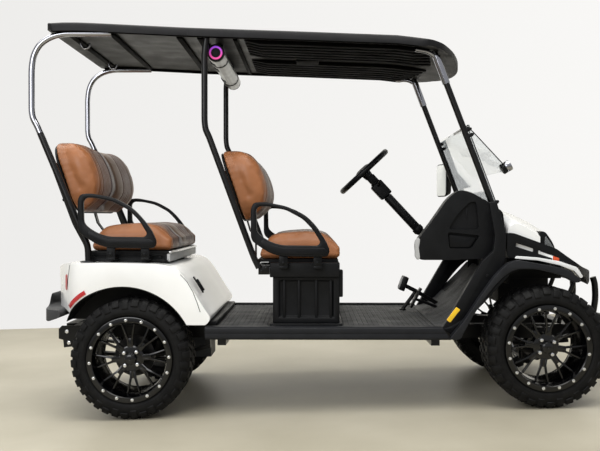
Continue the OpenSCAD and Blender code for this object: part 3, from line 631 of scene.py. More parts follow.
glossWhite = makeGlossWhite()
trimBlack = makeGrainedBlack("grained black polypropylene", "#0D0E10", "#121315", 0.46)
sillBlack = makeGrainedBlack("grained dark grey polypropylene", "#1A1B1E", "#202124", 0.5)
flareBlack = makeGrainedBlack("satin dark grey polypropylene", "#1D1E21", "#232427", 0.42)
bumperGrey = makeGrainedBlack("dark grey TPO", "#3C3D3F", "#464749", 0.5)
armBlack = makeGrainedBlack("moulded black nylon", "#0E0F11", "#141518", 0.34, 0.0016)
roofBlack = makeGrainedBlack("charcoal ABS sheet", "#161618", "#1C1C1E", 0.5, 0.003)
roofUnder = makeGrainedBlack("ribbed black ABS", "#050506", "#090909", 0.7, 0.003, 0.03)
lightGrey = makeGrainedBlack("light grey polypropylene", "#A9AAAB", "#B5B6B7", 0.5)
packGrey = makeGrainedBlack("painted battery case", "#3A3C3F", "#45474A", 0.5)
powderCoat = makePowderCoat()
chrome = makeChrome()
zinc = makeZinc()
rimBlack = makeRimBlack()
tyreRubber = makeTyre()
vinyl = makeVinyl()
acrylic = makePane()
clearLens = makeLens("clear polycarbonate lens", "#E6ECEF", 0.85)
redLens = makeLens("red polycarbonate lens", "#C22026", 0.15)
amberLens = makeLens("orange polycarbonate lens", "#D8501E", 0.15)
yellowLens = makeLens("yellow reflector", "#F2C312", 0.0)
matRubber = makeMat()
barGrey = makeBarGrey()
lightRing = makeLightRing()
mirrorGlass = newMaterial("silvered mirror glass", "#E4E8EA", 0.02, 1.0)[0]
print("materials ready")


# wheels, drawn at the middle of the tyre with the face towards +y

wheel = {
    "tyreRadius": 0.28, "lugs": 36, "spokePairs": 8, "bolts": 16, "boltCircle": 0.1845, "nutCircle": 0.041,
}


def makeTyrePiece():
    r = wheel["tyreRadius"]
    half = [
        (0.000, r - 0.0065), (0.060, r - 0.0065), (0.092, r - 0.009), (0.109, r - 0.0165), (0.119, r - 0.036),
        (0.1235, r - 0.056), (0.1215, 0.212), (0.118, 0.2045), (0.1135, 0.2005), (0.1072, 0.1965),
        (0.1062, 0.179),
    ]
    inner = [(0.094, 0.181), (0.106, 0.215), (0.1, 0.245), (0.08, 0.256), (0.0, 0.258)]
    outer = half[::-1] + [(-y, radius) for y, radius in half[1:]]
    inside = [(-y, radius) for y, radius in inner[:-1]] + [(0.0, 0.258)]
    inside += [(y, radius) for y, radius in inner[:-1]][::-1]
    carcass = turned(outer + inside, 108)
    shade(carcass, 30)
    ribs = []
    for y in (0.1218, -0.1218):
        # raised ring low on the side wall
        ring = turned([(y - 0.0012, 0.2135), (y + 0.0012, 0.2135), (y + 0.0018, 0.216), (y - 0.0018, 0.216)],
                      108)
        ribs.append(ring)
    lugs = []
    for side in (1, -1):
        for k, low in enumerate((0.234, 0.247)):
            section = [
                (0.062, r - 0.012), (0.062, r), (0.100, r - 0.0025), (0.1135, r - 0.0125),
                (0.1225, max(r - 0.034, low + 0.008)),
                (0.1252, low + 0.004), (0.1215, low - 0.002), (0.117, low), (0.112, r - 0.03),
            ]
            lug = frontSlab([(y * side, z) for y, z in section], -0.0165 if k else -0.0145,
                            0.0165 if k else 0.0145)
            softEdges(lug, 0.0022, 2, 30)
            spot = (k + (0.5 if side < 0 else 0)) * 2 * pi / wheel["lugs"]
            turnAll(lug, (-spot, "Y", (0, 0, 0)))
            lugs.append(aroundY(lug, wheel["lugs"] // 2))
    for row, y in enumerate((-0.038, 0.0, 0.038)):
        # centre blocks, skewed against each other
        piece = block((-0.017, y - 0.0155, r - 0.013), (0.017, y + 0.0155, r - 0.0008), 0.0022)
        turnAll(piece, (radians(22 if row % 2 else -18), "Z", (0, y, r)), (-row * 0.06, "Y", (0, 0, 0)))
        lugs.append(aroundY(piece, wheel["lugs"]))
    return dress(join([carcass] + ribs + lugs), tyreRubber)


def makeRimPieces():
    profile = [
        (0.1245, 0.1985), (0.1258, 0.1945), (0.1258, 0.1765), (0.1235, 0.1735), (0.1135, 0.1715),
        (0.108, 0.1685),
        (0.06, 0.1635), (0.02, 0.1605), (-0.05, 0.158), (-0.098, 0.161), (-0.121, 0.1715), (-0.1215, 0.1985),
        (-0.115, 0.1985), (-0.1068, 0.1775), (-0.06, 0.1775), (-0.05, 0.171), (0.05, 0.171), (0.06, 0.1775),
        (0.1068, 0.1775), (0.1145, 0.1985),
    ]
    barrel = turned(profile, 96)
    shade(barrel, 28)
    groove = turned([(0.1262, 0.1795), (0.1262, 0.1785), (0.125, 0.1785), (0.125, 0.1795)], 96)
    # one split spoke: two thin blades from a short root, dished towards the hub
    blades = []
    for side in (-1, 1):
        blade = slab(
            millimetres([(side * 3, 52), (side * 15, 54), (side * 14, 86), (side * 32.5, 160),
                         (side * 24.5, 163), (side * 5.5, 94)]), 0.058, 0.076
        )
        for vertex in blade.data.vertices:
            # the spokes rise towards the rim's lip
            reach = max(0.0, (vertex.co.z - 0.06) / 0.1)
            vertex.co.y += 0.014 * reach ** 1.5 - 0.004
        softEdges(blade, 0.0026, 2, 30)
        blades.append(blade)
    root = block((-0.0145, 0.05, 0.04), (0.0145, 0.0725, 0.094), 0.004, 2)
    spokes = aroundY(join(blades + [root]), wheel["spokePairs"])
    hub = turned([(-0.02, 0.018), (-0.02, 0.05), (0.05, 0.056), (0.062, 0.062), (0.07, 0.06), (0.073, 0.052),
                  (0.073, 0.018)], 64)
    shade(hub, 35)
    cap = turned([(0.07, 0.0005), (0.104, 0.0005), (0.107, 0.004), (0.107, 0.019), (0.103, 0.0245),
                  (0.07, 0.0275)], 48)
    shade(cap, 40)
    ridges = block((-0.0035, 0.076, 0.022), (0.0035, 0.1, 0.0285), 0.0012)
    ridges = aroundY(ridges, 8)
    pockets = []
    for k in range(4):
        pocket = turned([(0.07, 0.0125), (0.0755, 0.0125), (0.0765, 0.0108), (0.0765, 0.0098),
                         (0.07, 0.0098)], 24)
        angle = k * pi / 2 + pi / 4
        pockets.append(setAt(pocket, (wheel["nutCircle"] * sin(angle), 0, wheel["nutCircle"] * cos(angle))))
    dark = dress(join([barrel, groove, spokes, hub, cap, ridges] + pockets), rimBlack)
    bright = []
    bolt = disc((0, 0.128, wheel["boltCircle"]), 0.0052, 0.006, "Y", 12, 0.0012)
    washer = disc((0, 0.1262, wheel["boltCircle"]), 0.0072, 0.0014, "Y", 16)
    bright.append(aroundY(join([bolt, washer]), wheel["bolts"]))
    for k in range(4):
        angle = k * pi / 2 + pi / 4
        spot = (wheel["nutCircle"] * sin(angle), 0.082, wheel["nutCircle"] * cos(angle))
        bright.append(disc(spot, 0.0092, 0.02, "Y", 6, 0.002))
    return dark, dress(join(bright), zinc)


tyreModel = makeTyrePiece()
rimModel, boltModel = makeRimPieces()
wheelSpots = {
    "rear_left": (0.0, 1, 0.12), "rear_right": (0.0, -1, 0.05), "front_left": (stance["wheelbase"], 1, 0.4),
    "front_right": (stance["wheelbase"], -1, -0.17),
}
for spot, (x, side, turn) in wheelSpots.items():
    place = Matrix.Translation((x - stance["centre"], side * stance["halfTrack"], stance["wheelRadius"]))
    if side < 0:
        place = place @ Matrix.Rotation(pi, 4, "Z")
    place = place @ Matrix.Rotation(turn, 4, "Y")
    for model, label, slot, stands in (
        (tyreModel, "tyre_tread", "tyre", f"{spot}_tyre"),
        (rimModel, "rim_casting", "rim_black", f"{spot}_rim"),
        (boltModel, "rim_bolts", "strut_chrome", None),
    ):
        piece = copyOf(model)
        piece.matrix_world = place
        keep(piece, f"{spot}_{label}", f"{spot}_wheel", None, (stands,) if stands else (), raked=False)
for model in (tyreModel, rimModel, boltModel):
    bpy.data.objects.remove(model)
print("wheels ready")


# seats, drawn in a frame at the rear lower edge of the cushion

seat = {
    "cushion": 0.428, "height": 0.124, "voxel": 0.0095, "pressure": 4.0, "cap": 0.02,
    "seams": (-0.402, -0.372, -0.338, -0.162, -0.03, 0.03, 0.128, 0.33, 0.402),
    "pleats": (-0.308, -0.279, -0.25, -0.221, -0.191, 0.162, 0.195, 0.229, 0.262, 0.296),
    "rearOrigin": (-0.228, 0.778), "frontOrigin": (0.58, 0.738),
    "backLow": (-0.056, 0.172), "backHigh": (-0.176, 0.527),
}


def puff(obj, hold):
    # the pad swells like foam under a tight cover; hold keeps the side that rests on its board
    remesh = obj.modifiers.new("voxels", "REMESH")
    remesh.mode = "VOXEL"
    remesh.voxel_size = seat["voxel"]
    applyAll(obj)
    start = [vertex.co.copy() for vertex in obj.data.vertices]
    cloth = obj.modifiers.new("swell", "CLOTH")
    cloth.settings.use_pressure = True
    cloth.settings.uniform_pressure_force = seat["pressure"]
    cloth.settings.effector_weights.gravity = 0
    cloth.settings.quality = 4
    cloth.settings.tension_stiffness = 12
    cloth.settings.compression_stiffness = 12
    cloth.point_cache.frame_start = 1
    cloth.point_cache.frame_end = 20
    for step in range(1, 21):
        bpy.context.scene.frame_set(step)
    applyAll(obj)
    bpy.context.scene.frame_set(1)
    for vertex, before in zip(obj.data.vertices, start):
        move = vertex.co - before
        if move.length > seat["cap"]:
            vertex.co = before + move.normalized() * seat["cap"]
    for vertex, before in zip(obj.data.vertices, start):
        grip = hold(before)
        vertex.co = vertex.co.lerp(before, grip)
    relax = obj.modifiers.new("relax", "SMOOTH")
    relax.factor = 0.5
    relax.iterations = 6
    applyAll(obj)
    fine = obj.modifiers.new("fine", "SUBSURF")
    fine.levels = fine.render_levels = 1
    applyAll(obj)
    return obj


def sew(obj, faceOf, deepest):
    # pulls the cover in along each seam, and less along each pleat
    mesh = obj.data
    normals = [vertex.normal.copy() for vertex in mesh.vertices]
    for vertex, normal in zip(mesh.vertices, normals):
        weight = faceOf(vertex.co)
        if weight <= 0:
            continue
        depth = 0.0
        for y in seat["seams"]:
            depth += 0.0055 * math.exp(-((vertex.co.y - y) / 0.0065) ** 2)
        for y in seat["pleats"]:
            depth += 0.003 * math.exp(-((vertex.co.y - y) / 0.006) ** 2)
        depth += deepest * math.exp(-(vertex.co.y / 0.06) ** 2)
        vertex.co -= normal * depth * weight
    shade(obj, 60)
    return obj


def cushionLine():
    length, high = seat["cushion"], seat["height"]
    line = [(length - 0.04, 0.001), (0.012, 0.001), (0.004, 0.03), (0.018, 0.066), (0.062, high - 0.026),
            (0.14, high - 0.016), (0.24, high - 0.01), (0.33, high - 0.022), (0.39, high - 0.058),
            (0.412, 0.06),
            (0.407, 0.02)]
    return rounded(line, 0.02, 3)


def makeCushion():
    pad = slab(cushionLine(), -0.465, 0.465)
    edit(pad)
    # the four upright corners are well rounded
    pickEdges(pad, lambda a, b: abs(abs(a.y) - 0.465) < 0.001 and abs(abs(b.y) - 0.465) < 0.001 and a.y * b.y > 0)
    bpy.ops.mesh.bevel(offset=0.034, segments=4)
    leave()
    puff(pad, lambda p: 1.0 if p.z < 0.006 else 0.55 if p.z < 0.03 else 0.0)
    sew(pad, lambda p: max(0.0, min(1.0, (p.z - 0.02) / 0.03)), 0.012)
    for vertex in pad.data.vertices:
        vertex.co.z = max(vertex.co.z, 0.0)
        vertex.co.x = min(max(vertex.co.x, 0.004), 0.432)
    return pad


def backFrame():
    # the back's own axes: up along it, and out towards the sitter
    low, high = Vector(seat["backLow"]), Vector(seat["backHigh"])
    along = (high - low).normalized()
    return low, along, Vector((along.y, -along.x)), (high - low).length


def makeBack():
    low, along, out, tall = backFrame()
    front = [
        (0.992, 0.03), (0.95, 0.07), (0.86, 0.104), (0.7, 0.128), (0.5, 0.137), (0.3, 0.13), (0.15, 0.104),
        (0.05, 0.066), (0.008, 0.03),
    ]
    line = [low + along * 0.006 + out * 0.002, low + along * (tall - 0.006) + out * 0.002]
    line += [low + along * tall * s + out * t for s, t in front]
    pad = slab(rounded([tuple(p) for p in line], 0.03, 3), -0.465, 0.465)
    # round the four corners seen from the front
    tilt = math.atan2(low.x - (low + along).x, along.y)
    shape = rounded([(-0.468, -0.01), (0.468, -0.01), (0.468, tall + 0.01), (-0.468, tall + 0.01)], 0.16, 9)
    cutter = frontSlab(shape, -0.4, 0.4)
    carve(pad, setAt(cutter, (low.x, 0, low.y), (-tilt, "Y")), "INTERSECT")
    behind = lambda p: (Vector((p.x, p.z)) - low).dot(out)
    puff(pad, lambda p: 1.0 if behind(p) < 0.01 else 0.5 if behind(p) < 0.03 else 0.0)
    sew(pad, lambda p: max(0.0, min(1.0, (behind(p) - 0.02) / 0.03)), 0.022)
    for vertex in pad.data.vertices:
        short = behind(vertex.co)
        if short < 0.001:
            vertex.co.x += (0.001 - short) * out.x
            vertex.co.z += (0.001 - short) * out.y
        vertex.co.y = max(-0.475, min(0.475, vertex.co.y))
    return pad


def pipingOn(pad, y, centre, start, end, steps=44):
    # a welt cord laid on the pad's skin round one side seam
    mesh = bmesh.new()
    mesh.from_mesh(pad.data)
    tree = BVHTree.FromBMesh(mesh)
    mesh.free()
    points = []
    for k in range(steps + 1):
        angle = start + (end - start) * k / steps
        ray = Vector((cos(angle), 0, sin(angle)))
        hit = tree.ray_cast(Vector((centre[0], y, centre[1])) + ray * 0.8, -ray)[0]
        if hit:
            points.append(tuple(hit - ray * 0.0005))
    return tube(points, 0.0042, 3)


def makeShell():
    # the hard black shell behind a back
    low, along, out, tall = backFrame()
    shape = rounded(
        [(-0.462, 0.012), (0.462, 0.012), (0.462, tall - 0.012), (-0.462, tall - 0.012)], 0.15, 9
    )
    board = frontSlab(shape, -0.0103, -0.0004)
    edit(board)
    pickFaces(board, lambda c, n: n.x < -0.9)
    bpy.ops.mesh.inset(thickness=0.05, depth=0)
    bpy.ops.mesh.inset(thickness=0.012, depth=-0.004)
    leave()
    softEdges(board, 0.003, 2)
    tilt = math.atan2(seat["backLow"][0] - seat["backHigh"][0], seat["backHigh"][1] - seat["backLow"][1])
    parts = [setAt(board, (low.x, 0, low.y), (-tilt, "Y"))]
    for s in (0.22, 0.7):
        p = low + along * tall * s - out * 0.0205
        parts.append(disc((p.x, 0, p.y), 0.009, 1.008, "Y", 20))
        for y in (-0.36, 0.36):
            # saddle clips that hold the shell to its cross tube
            parts.append(disc((p.x, y, p.y), 0.013, 0.03, "Y", 20, 0.002))
    return join(parts)


cushionModel = makeCushion()
backModel = makeBack()
cushionPiping = join([
    pipingOn(cushionModel, y, (0.2, 0.04), radians(-8), radians(186)) for y in (-0.402, 0.402)
])
low, along, out, tall = backFrame()
middle = low + along * tall * 0.5 + out * 0.02
facing = math.atan2(out.y, out.x)
backPiping = join([
    pipingOn(backModel, y, (middle.x, middle.y), facing - radians(88), facing + radians(88))
    for y in (-0.402, 0.402)
])
shellModel = makeShell()
for label, (x, z) in (("rear", seat["rearOrigin"]), ("front", seat["frontOrigin"])):
    for model, part, body, slot, material, stands in (
        (cushionModel, "seat_pad", f"{label}_seat_lid", "seat_leather", vinyl, (f"{label}_seat_cushion",)),
        (cushionPiping, "seat_pad_piping", f"{label}_seat_lid", "seat_leather", vinyl, ()),
        (backModel, "back_pad", "chassis", "seat_leather", vinyl, (f"{label}_seat_back",)),
        (backPiping, "back_pad_piping", "chassis", "seat_leather", vinyl, ()),
        (shellModel, "back_shell", "chassis", "trim_black", trimBlack, ("seat_back_shells",)),
    ):
        piece = setAt(copyOf(model), (x, 0, z))
        keep(piece, f"{label}_{part}", body, material, stands)
for model in (cushionModel, cushionPiping, backModel, backPiping, shellModel):
    bpy.data.objects.remove(model)

# the middle brace of each back, bent from flat bar
for label, (x, z), foot in (("rear", seat["rearOrigin"], -0.0517), ("front", seat["frontOrigin"], -0.06)):
    line = [(-0.083, 0.2), (-0.063, 0.13), (-0.033, 0.09), (-0.033, foot)]
    bar = join([
        slab([(x + a[0] - 0.004, z + a[1]), (x + a[0] + 0.004, z + a[1]), (x + b[0] + 0.004, z + b[1]),
              (x + b[0] - 0.004, z + b[1])], -0.02, 0.02) for a, b in zip(line, line[1:])
    ])
    outward(bar)
    keep(bar, f"{label}_back_brace", "chassis", powderCoat)
ledge = blockMm((543, -20, 678), (643.5, 20, 684), 1.5)
keep(ledge, "front_brace_foot", "chassis", powderCoat)
print("seats ready")

# floor, sills and mat, in chassis millimetres

def makeFloor():
    pan = blockMm((345, -545, 401), (1440, 545, 414.8), 2)
    toe = [(1440, 401), (1500, 416), (1570, 458), (1650, 540), (1765, 668)]
    lifted = [(x - 9, z + 11) for x, z in reversed(toe)]
    board = slab(millimetres(toe + lifted), -0.5365, 0.5365)
    softEdges(board, 0.003, 2)
    return join([pan, board])


def makeSill():
    # hollow plastic moulding with a rolled top edge and a shallow groove along its face
    side = frontSlab(
        rounded(millimetres([(540, 400), (540, 431), (578, 431), (590, 424), (590, 378), (584, 370),
                             (548, 370)]), 0.004, 2),
        0.346, 1.49,
    )
    edit(side)
    pickFaces(side, lambda c, n: n.x > 0.9)
    bpy.ops.transform.rotate(value=radians(0.1), orient_axis="Y", center_override=(1.49, 0.56, 0.37))
    leave()
    carve(side, slab(millimetres([(1490, 366), (1600, 366), (1600, 470), (1416, 470)]), 0.5, 0.7))
    carve(side, blockMm((352, 588.6, 398), (1476, 594, 401)))
    return softEdges(side, 0.002, 2)


def makeMatPiece():
    sheet = blockMm((363, -535, 415.4), (1424, 535, 419.6))
    carve(sheet, blockMm((637, -522, 400), (996, 522, 440)))
    softEdges(sheet, 0.0012, 2)
    # raised ribs run across, in groups between smooth lines
    ribs = []
    for k in range(44):
        x = 372 + k * 24
        if x + 18 > 1424:
            break
        spans = [(-531, -523), (523, 531)] if 617 < x < 998 else [(-531, 531)]
        for a, b in spans:
            ribs.append(blockMm((x, a, 419.2), (x + 17, b, 421.2), 0.9, 1))
    return join([sheet] + ribs)


def makeToeMat():
    # the mat carries on up the toe board in ribbed panels
    toe = [(1434, 413.5), (1491.5, 428), (1561, 469.5), (1641, 551.5), (1752, 675)]
    top = [(x - 3.2, z + 3.8) for x, z in reversed(toe)]
    sheet = slab(millimetres(toe + top), -0.515, 0.515)
    softEdges(sheet, 0.001, 1)
    ribs = []
    for (x0, z0), (x1, z1) in zip(toe[1:], toe[2:]):
        length = math.hypot(x1 - x0, z1 - z0)
        ux, uz = (x1 - x0) / length, (z1 - z0) / length
        for k in range(int(length // 26)):
            s = 8 + k * 26
            ax, az = x0 + ux * s - uz * 3.6, z0 + uz * s + ux * 3.6
            rib = slab(millimetres([(ax, az), (ax + ux * 17, az + uz * 17),
                                    (ax + ux * 15 - uz * 2, az + uz * 15 + ux * 2),
                                    (ax + ux * 2 - uz * 2, az + uz * 2 + ux * 2)]), -0.511, 0.511)
            ribs.append(rib)
    return join([sheet] + ribs)


keep(makeFloor(), "floor_panel", "chassis", sillBlack, ("floor_pan",))
keep(bothSides(makeSill()), "side_sills", "chassis", sillBlack)
keep(makeMatPiece(), "ribbed_mat", "chassis", matRubber, ("floor_mat",))
keep(makeToeMat(), "toe_mat", "chassis", matRubber)
sideReflector = slab(rounded(millimetres([(1481, 452), (1528, 512), (1509, 524), (1464, 464)]), 0.004, 2),
                     -0.5905, -0.5865)
print("floor ready")


# rear body

body = {"archX": -40, "archZ": 275, "archR": 341}


def bowedPlan(grow=0.0, x1=700, x0=-458, half=580, bow=900, corner=150):
    # straight sides, a bowed rear and round corners that run into both; grow moves the outline out
    x0, half, bow, corner = x0 - grow, half + grow, bow + grow, corner + grow
    side = half - corner
    middle = x0 + bow - math.sqrt((bow - corner) ** 2 - side ** 2)
    reach = math.asin(side / (bow - corner))
    turn = [(pi / 2 - reach) * k / 10 for k in range(11)]
    line = [(x1, half)] + [(middle - corner * sin(t), side + corner * cos(t)) for t in turn]
    line += [(x0 + bow - bow * cos(t), bow * sin(t)) for t in [reach * (1 - k / 10) for k in range(1, 20)]]
    line += [(middle - corner * sin(t), -side - corner * cos(t)) for t in reversed(turn)] + [(x1, -half)]
    return millimetres(line)


def makeRearBody():
    side = rounded(millimetres([
        (-455, 503.5), (-460, 600), (-430, 690), (-330, 722), (-120, 727), (130, 722), (214, 704), (262, 645),
        (338, 520),
        (374, 470), (352, 436), (300, 431), (-250, 438), (-330, 503.5),
    ]), 0.05, 6)
    shell = slab(side, -0.58, 0.58)
    carve(shell, planSlab(bowedPlan(), 0.3, 0.9), "INTERSECT")
    for s in (1, -1):
        arch = disc((body["archX"] / 1000, s * 0.6, body["archZ"] / 1000), body["archR"] / 1000, 0.53, "Y", 112)
        carve(shell, arch)
    # between the wheels the front wall stands back over the floor
    carve(shell, blockMm((250, -500, 300), (520, 500, 415.2)))
    carve(shell, blockMm((-600, -600, 300), (347, 600, 437)))
    # the hollow for the seat base and the power pack
    carve(shell, blockMm((-202, -440, 600), (142, 440, 900)))
    carve(shell, blockMm((-440, -320, 425), (-100, 320, 640)))
    return softEdges(shell, 0.011, 4, 38, 42)


def makeArchLiner():
    liner = disc((body["archX"] / 1000, 0.455, body["archZ"] / 1000), 0.3402, 0.235, "Y", 96)
    edit(liner)
    pickFaces(liner, lambda c, n: abs(n.y) > 0.9 and c.y > 0.5)
    bpy.ops.mesh.delete(type="FACE")
    leave()
    wall = liner.modifiers.new("wall", "SOLIDIFY")
    wall.thickness = 0.005
    wall.offset = -1
    applyAll(liner)
    carve(liner, blockMm((-600, 100, -100), (600, 800, 438)))
    carve(liner, planSlab(bowedPlan(-4), -0.1, 0.9), "INTERSECT")
    shade(liner, 40)
    return liner


keep(makeRearBody(), "rear_body_shell", "chassis", glossWhite, ("rear_body",))
keep(bothSides(makeArchLiner()), "rear_arch_liners", "chassis", trimBlack)


def makeMarker():
    # curved red strip that follows the arch round the rear corner
    turn = [radians(119 + 19 * k / 8) for k in range(9)]
    line = [(body["archX"] + 368 * cos(t), body["archZ"] + 368 * sin(t)) for t in turn]
    line += [(body["archX"] + 348 * cos(t), body["archZ"] + 348 * sin(t)) for t in reversed(turn)]
    strip = slab(millimetres(line), 0.4, 0.62)
    carve(strip, planSlab(bowedPlan(5), 0.45, 0.65), "INTERSECT")
    carve(strip, planSlab(bowedPlan(-3), 0.44, 0.66))
    return softEdges(strip, 0.0016, 2, 35)


keep(bothSides(makeMarker()), "side_markers", "chassis", redLens, ("tail_lamps",))


def makeTailLamp():
    # red lens let into the rear corner, its face flush with the bodywork
    lens = block((-0.05, -0.058, -0.042), (0.05, 0.058, 0.042), 0.012, 3)
    setAt(lens, (-0.395, 0.462, 0.628), (radians(-40), "Z"))
    carve(lens, planSlab(bowedPlan(3), 0.45, 0.75), "INTERSECT")
    carve(lens, planSlab(bowedPlan(-4), 0.44, 0.76))
    return softEdges(lens, 0.001, 2, 35)


keep(bothSides(makeTailLamp()), "tail_lamp_lenses", "chassis", redLens)


def makeSeam(points, width=1.6):
    # a thin dark joint line drawn over the body's side
    line = [(x - width, z) for x, z in points] + [(x + width, z) for x, z in reversed(points)]
    strip = slab(millimetres(line), 0.4, 0.62)
    carve(strip, planSlab(bowedPlan(0.6), 0.3, 0.9), "INTERSECT")
    carve(strip, planSlab(bowedPlan(-2), 0.29, 0.91))
    return strip


# joint of the access panel in each rear corner, and the curved one ahead of the arch
seamLines = [
    [(-306, 712), (-314, 672), (-321, 640), (-325, 607)],
    [(232, 672), (262, 640), (290, 592), (310, 540), (324, 498)],
]
keep(bothSides(join([makeSeam(line) for line in seamLines])), "corner_seams", "chassis",
     trimBlack)


def makeRiser():
    skirt = blockMm((-216, -470, 726.4), (149, 470, 765), 3)
    edit(skirt)
    pickFaces(skirt, lambda c, n: abs(n.y) > 0.9)
    bpy.ops.mesh.inset(thickness=0.008, depth=-0.004)
    leave()
    foot = blockMm((-224, -478, 726.5), (157, 478, 734), 2.5)
    lugs = []
    for y in (-470, 470):
        for x in (-196, 118):
            lugs.append(disc((x / 1000, y / 1000 * 1.0085, 0.747), 0.007, 0.006, "Y", 6, 0.001))
    return join([skirt, foot] + lugs)


keep(makeRiser(), "rear_seat_base", "chassis", trimBlack, ("rear_seat_riser",))
valance = blockMm((151, -468, 727), (166, 468, 764), 2.5, 2)
keep(valance, "rear_seat_valance", "chassis", lightGrey)
valanceBar = blockMm((150, -460, 766), (172, 460, 776), 2)
keep(valanceBar, "rear_valance_rail", "chassis", zinc)


def makeLatch():
    # pull latch on the slope under the seat front
    base = blockMm((-13, -46, 0), (13, 46, 6), 2)
    grip = blockMm((-8, -38, 5), (8, 26, 16), 3)
    pin = disc((0, 0, 0.009), 0.0035, 0.03, "X", 12)
    return setAt(join([base, grip, pin]), (0.2905, -0.4, 0.6105), (radians(58), "Y"), (radians(90), "Z"))


keep(makeLatch(), "body_latch", "chassis", trimBlack)
stepPad = blockMm((350, -500, 421.4), (392, 500, 446), 5, 3)
keep(stepPad, "rear_floor_step", "chassis", trimBlack)
print("rear body ready")


# front seat pod

def makePod():
    core = blockMm((658, -495, 436), (974, 495, 668))
    edit(core)
    # a deep panel in each end, with two upright ribs left standing
    for s in (-1, 1):
        pickFaces(core, lambda c, n: n.y * s > 0.9)
        bpy.ops.mesh.inset(thickness=0.026, depth=0)
        bpy.ops.mesh.inset(thickness=0.008, depth=-0.012)
    pickFaces(core, lambda c, n: abs(n.x) > 0.9)
    bpy.ops.mesh.inset(thickness=0.03, depth=0, use_individual=True)
    bpy.ops.mesh.inset(thickness=0.008, depth=-0.01, use_individual=True)
    leave()
    softEdges(core, 0.005, 3)
    collar = blockMm((644, -515, 655), (974, 515, 724.7), 5, 3)
    foot = blockMm((644, -511, 421.5), (988, 511, 437), 4, 3)
    parts = [core, collar, foot]
    for s in (-1, 1):
        for x in (706, 776, 858, 926):
            parts.append(blockMm((x, s * 489 - 6, 462), (x + 12, s * 489 + 6, 640), 3, 2))
        bulge = blockMm((948, s * 470 - 18, 560), (990, s * 470 + 18, 690), 6, 3)
        parts.append(bulge)
        for x in (664, 966):
            parts.append(disc((x / 1000, s * 0.5125, 0.4292), 0.0055, 0.005, "Y", 12, 0.001))
    return join(parts)


keep(makePod(), "front_seat_base", "chassis", trimBlack, ("front_seat_pod",))
hingeRail = join([blockMm((589, y - 42, 704), (646, y + 42, 713), 1.5) for y in (-300, 300)] +
                 [disc((0.578, y / 1000, 0.716), 0.0078, 0.078, "Y", 20, 0.001) for y in (-300, 300)])
keep(hingeRail, "front_hinge_rails", "chassis", powderCoat)
rearHinges = join([disc((-0.23, y / 1000, 0.756), 0.0078, 0.078, "Y", 20, 0.001) for y in (-300, 300)] +
                  [blockMm((-228, y - 42, 746), (-214, y + 42, 752), 1) for y in (-300, 300)])
keep(rearHinges, "rear_hinge_rails", "chassis", powderCoat)


# hip rails beside each seat


def makeArmrest():
    outerLine = rounded(millimetres([
        (-22, 110), (-22, 240), (-10, 268), (40, 273), (150, 251), (230, 208), (283, 155), (326, 96), (347, 46),
        (338, 18), (300, 15), (123, 18), (70, 32), (16, 66), (-14, 88),
    ]), 0.03, 4)
    innerLine = rounded(millimetres([
        (6, 134), (4, 238), (20, 252), (70, 250), (142, 234), (220, 192), (268, 142), (303, 84), (290, 68),
        (123, 70),
        (74, 84), (30, 110),
    ]), 0.02, 4)
    rim = slab(outerLine, 0.5412, 0.5708)
    carve(rim, slab(innerLine, 0.5, 0.6))
    softEdges(rim, 0.009, 4, 40, 50)
    # the lower band stands a little proud, with a hollow along it
    band = slab(rounded(millimetres([
        (20, 76), (70, 42), (123, 28), (300, 25), (331, 28), (336, 44), (318, 60), (292, 58), (123, 60),
        (78, 72), (30, 98),
    ]), 0.012, 3), 0.5385, 0.5735)
    softEdges(band, 0.004, 3, 40, 50)
    parts = [rim, band]
    for x in (110, 270):
        parts.append(blockMm((x, 516, -40), (x + 40, 556, -28), 2.5))
        parts.append(blockMm((x, 541, -40), (x + 40, 553, 30), 2.5))
        parts.append(disc(((x + 20) / 1000, 0.5565, -0.012), 0.008, 0.006, "Y", 6, 0.0012))
    return join(parts)


armModel = bothSides(makeArmrest())
for label, (x, z) in (("rear", seat["rearOrigin"]), ("front", seat["frontOrigin"])):
    piece = setAt(copyOf(armModel), (x, 0, z))
    keep(piece, f"{label}_hip_rails", "chassis", armBlack, (f"{label}_armrests",))
bpy.data.objects.remove(armModel)
tabs = join([blockMm((x, s * 494 - 24, 737.8), (x + 40, s * 494 + 24, 750), 2)
             for x in (-118, 42) for s in (-1, 1)])
keep(tabs, "rear_hip_rail_feet", "chassis", powderCoat)
print("seat bases and hip rails ready")


# struts and roof

roof = {"top": 1850, "thick": 30, "seam": 262}
roofTop = [(-400, -4), (-380, 0), (-240, 0), (262, -26), (787, -45), (1249, -64), (1390, -82),
           (1500, -104), (1570, -122), (1598, -135)]


def roofLevel(x, drop=0.0):
    for (x0, z0), (x1, z1) in zip(roofTop, roofTop[1:]):
        if x <= x1:
            t = (x - x0) / (x1 - x0)
            return roof["top"] + z0 + (z1 - z0) * t - drop
    return roof["top"] + roofTop[-1][1] - drop


rearUpper = [(-436, 1330), (-452, 1368), (-472, 1404), (-478, 1440), (-478, 1640), (-468, 1702), (-440, 1752),
             (-392, 1786),
             (-330, 1803), (-100, 1803)]
rearLower = [(-212, 727), (-212, 800), (-265, 921), (-438, 1335)]
struts = [
    (rearUpper, 0.52, 0.0148, 0.05, "strut_chrome", chrome, "rear_strut_bows", ("rear_struts",)),
    (rearLower, 0.52, 0.0152, 0.03, "frame_black", powderCoat, "rear_strut_legs", ()),
    ([(594, 700), (572, 744), (539, 831), (358, 1320), (343, 1350), (338, 1390), (338, 1700), (342, 1740),
      (349, 1794)],
     0.52, 0.0148, 0.03, "frame_black", powderCoat, "mid_strut_tubes", ("mid_struts",)),
    ([(1777, 822), (1714, 980), (1611, 1252), (1463, 1639), (1427, 1733)], 0.43, 0.0148, 0.03, "frame_black",
     powderCoat,
     "front_strut_tubes", ("front_struts",)),
]
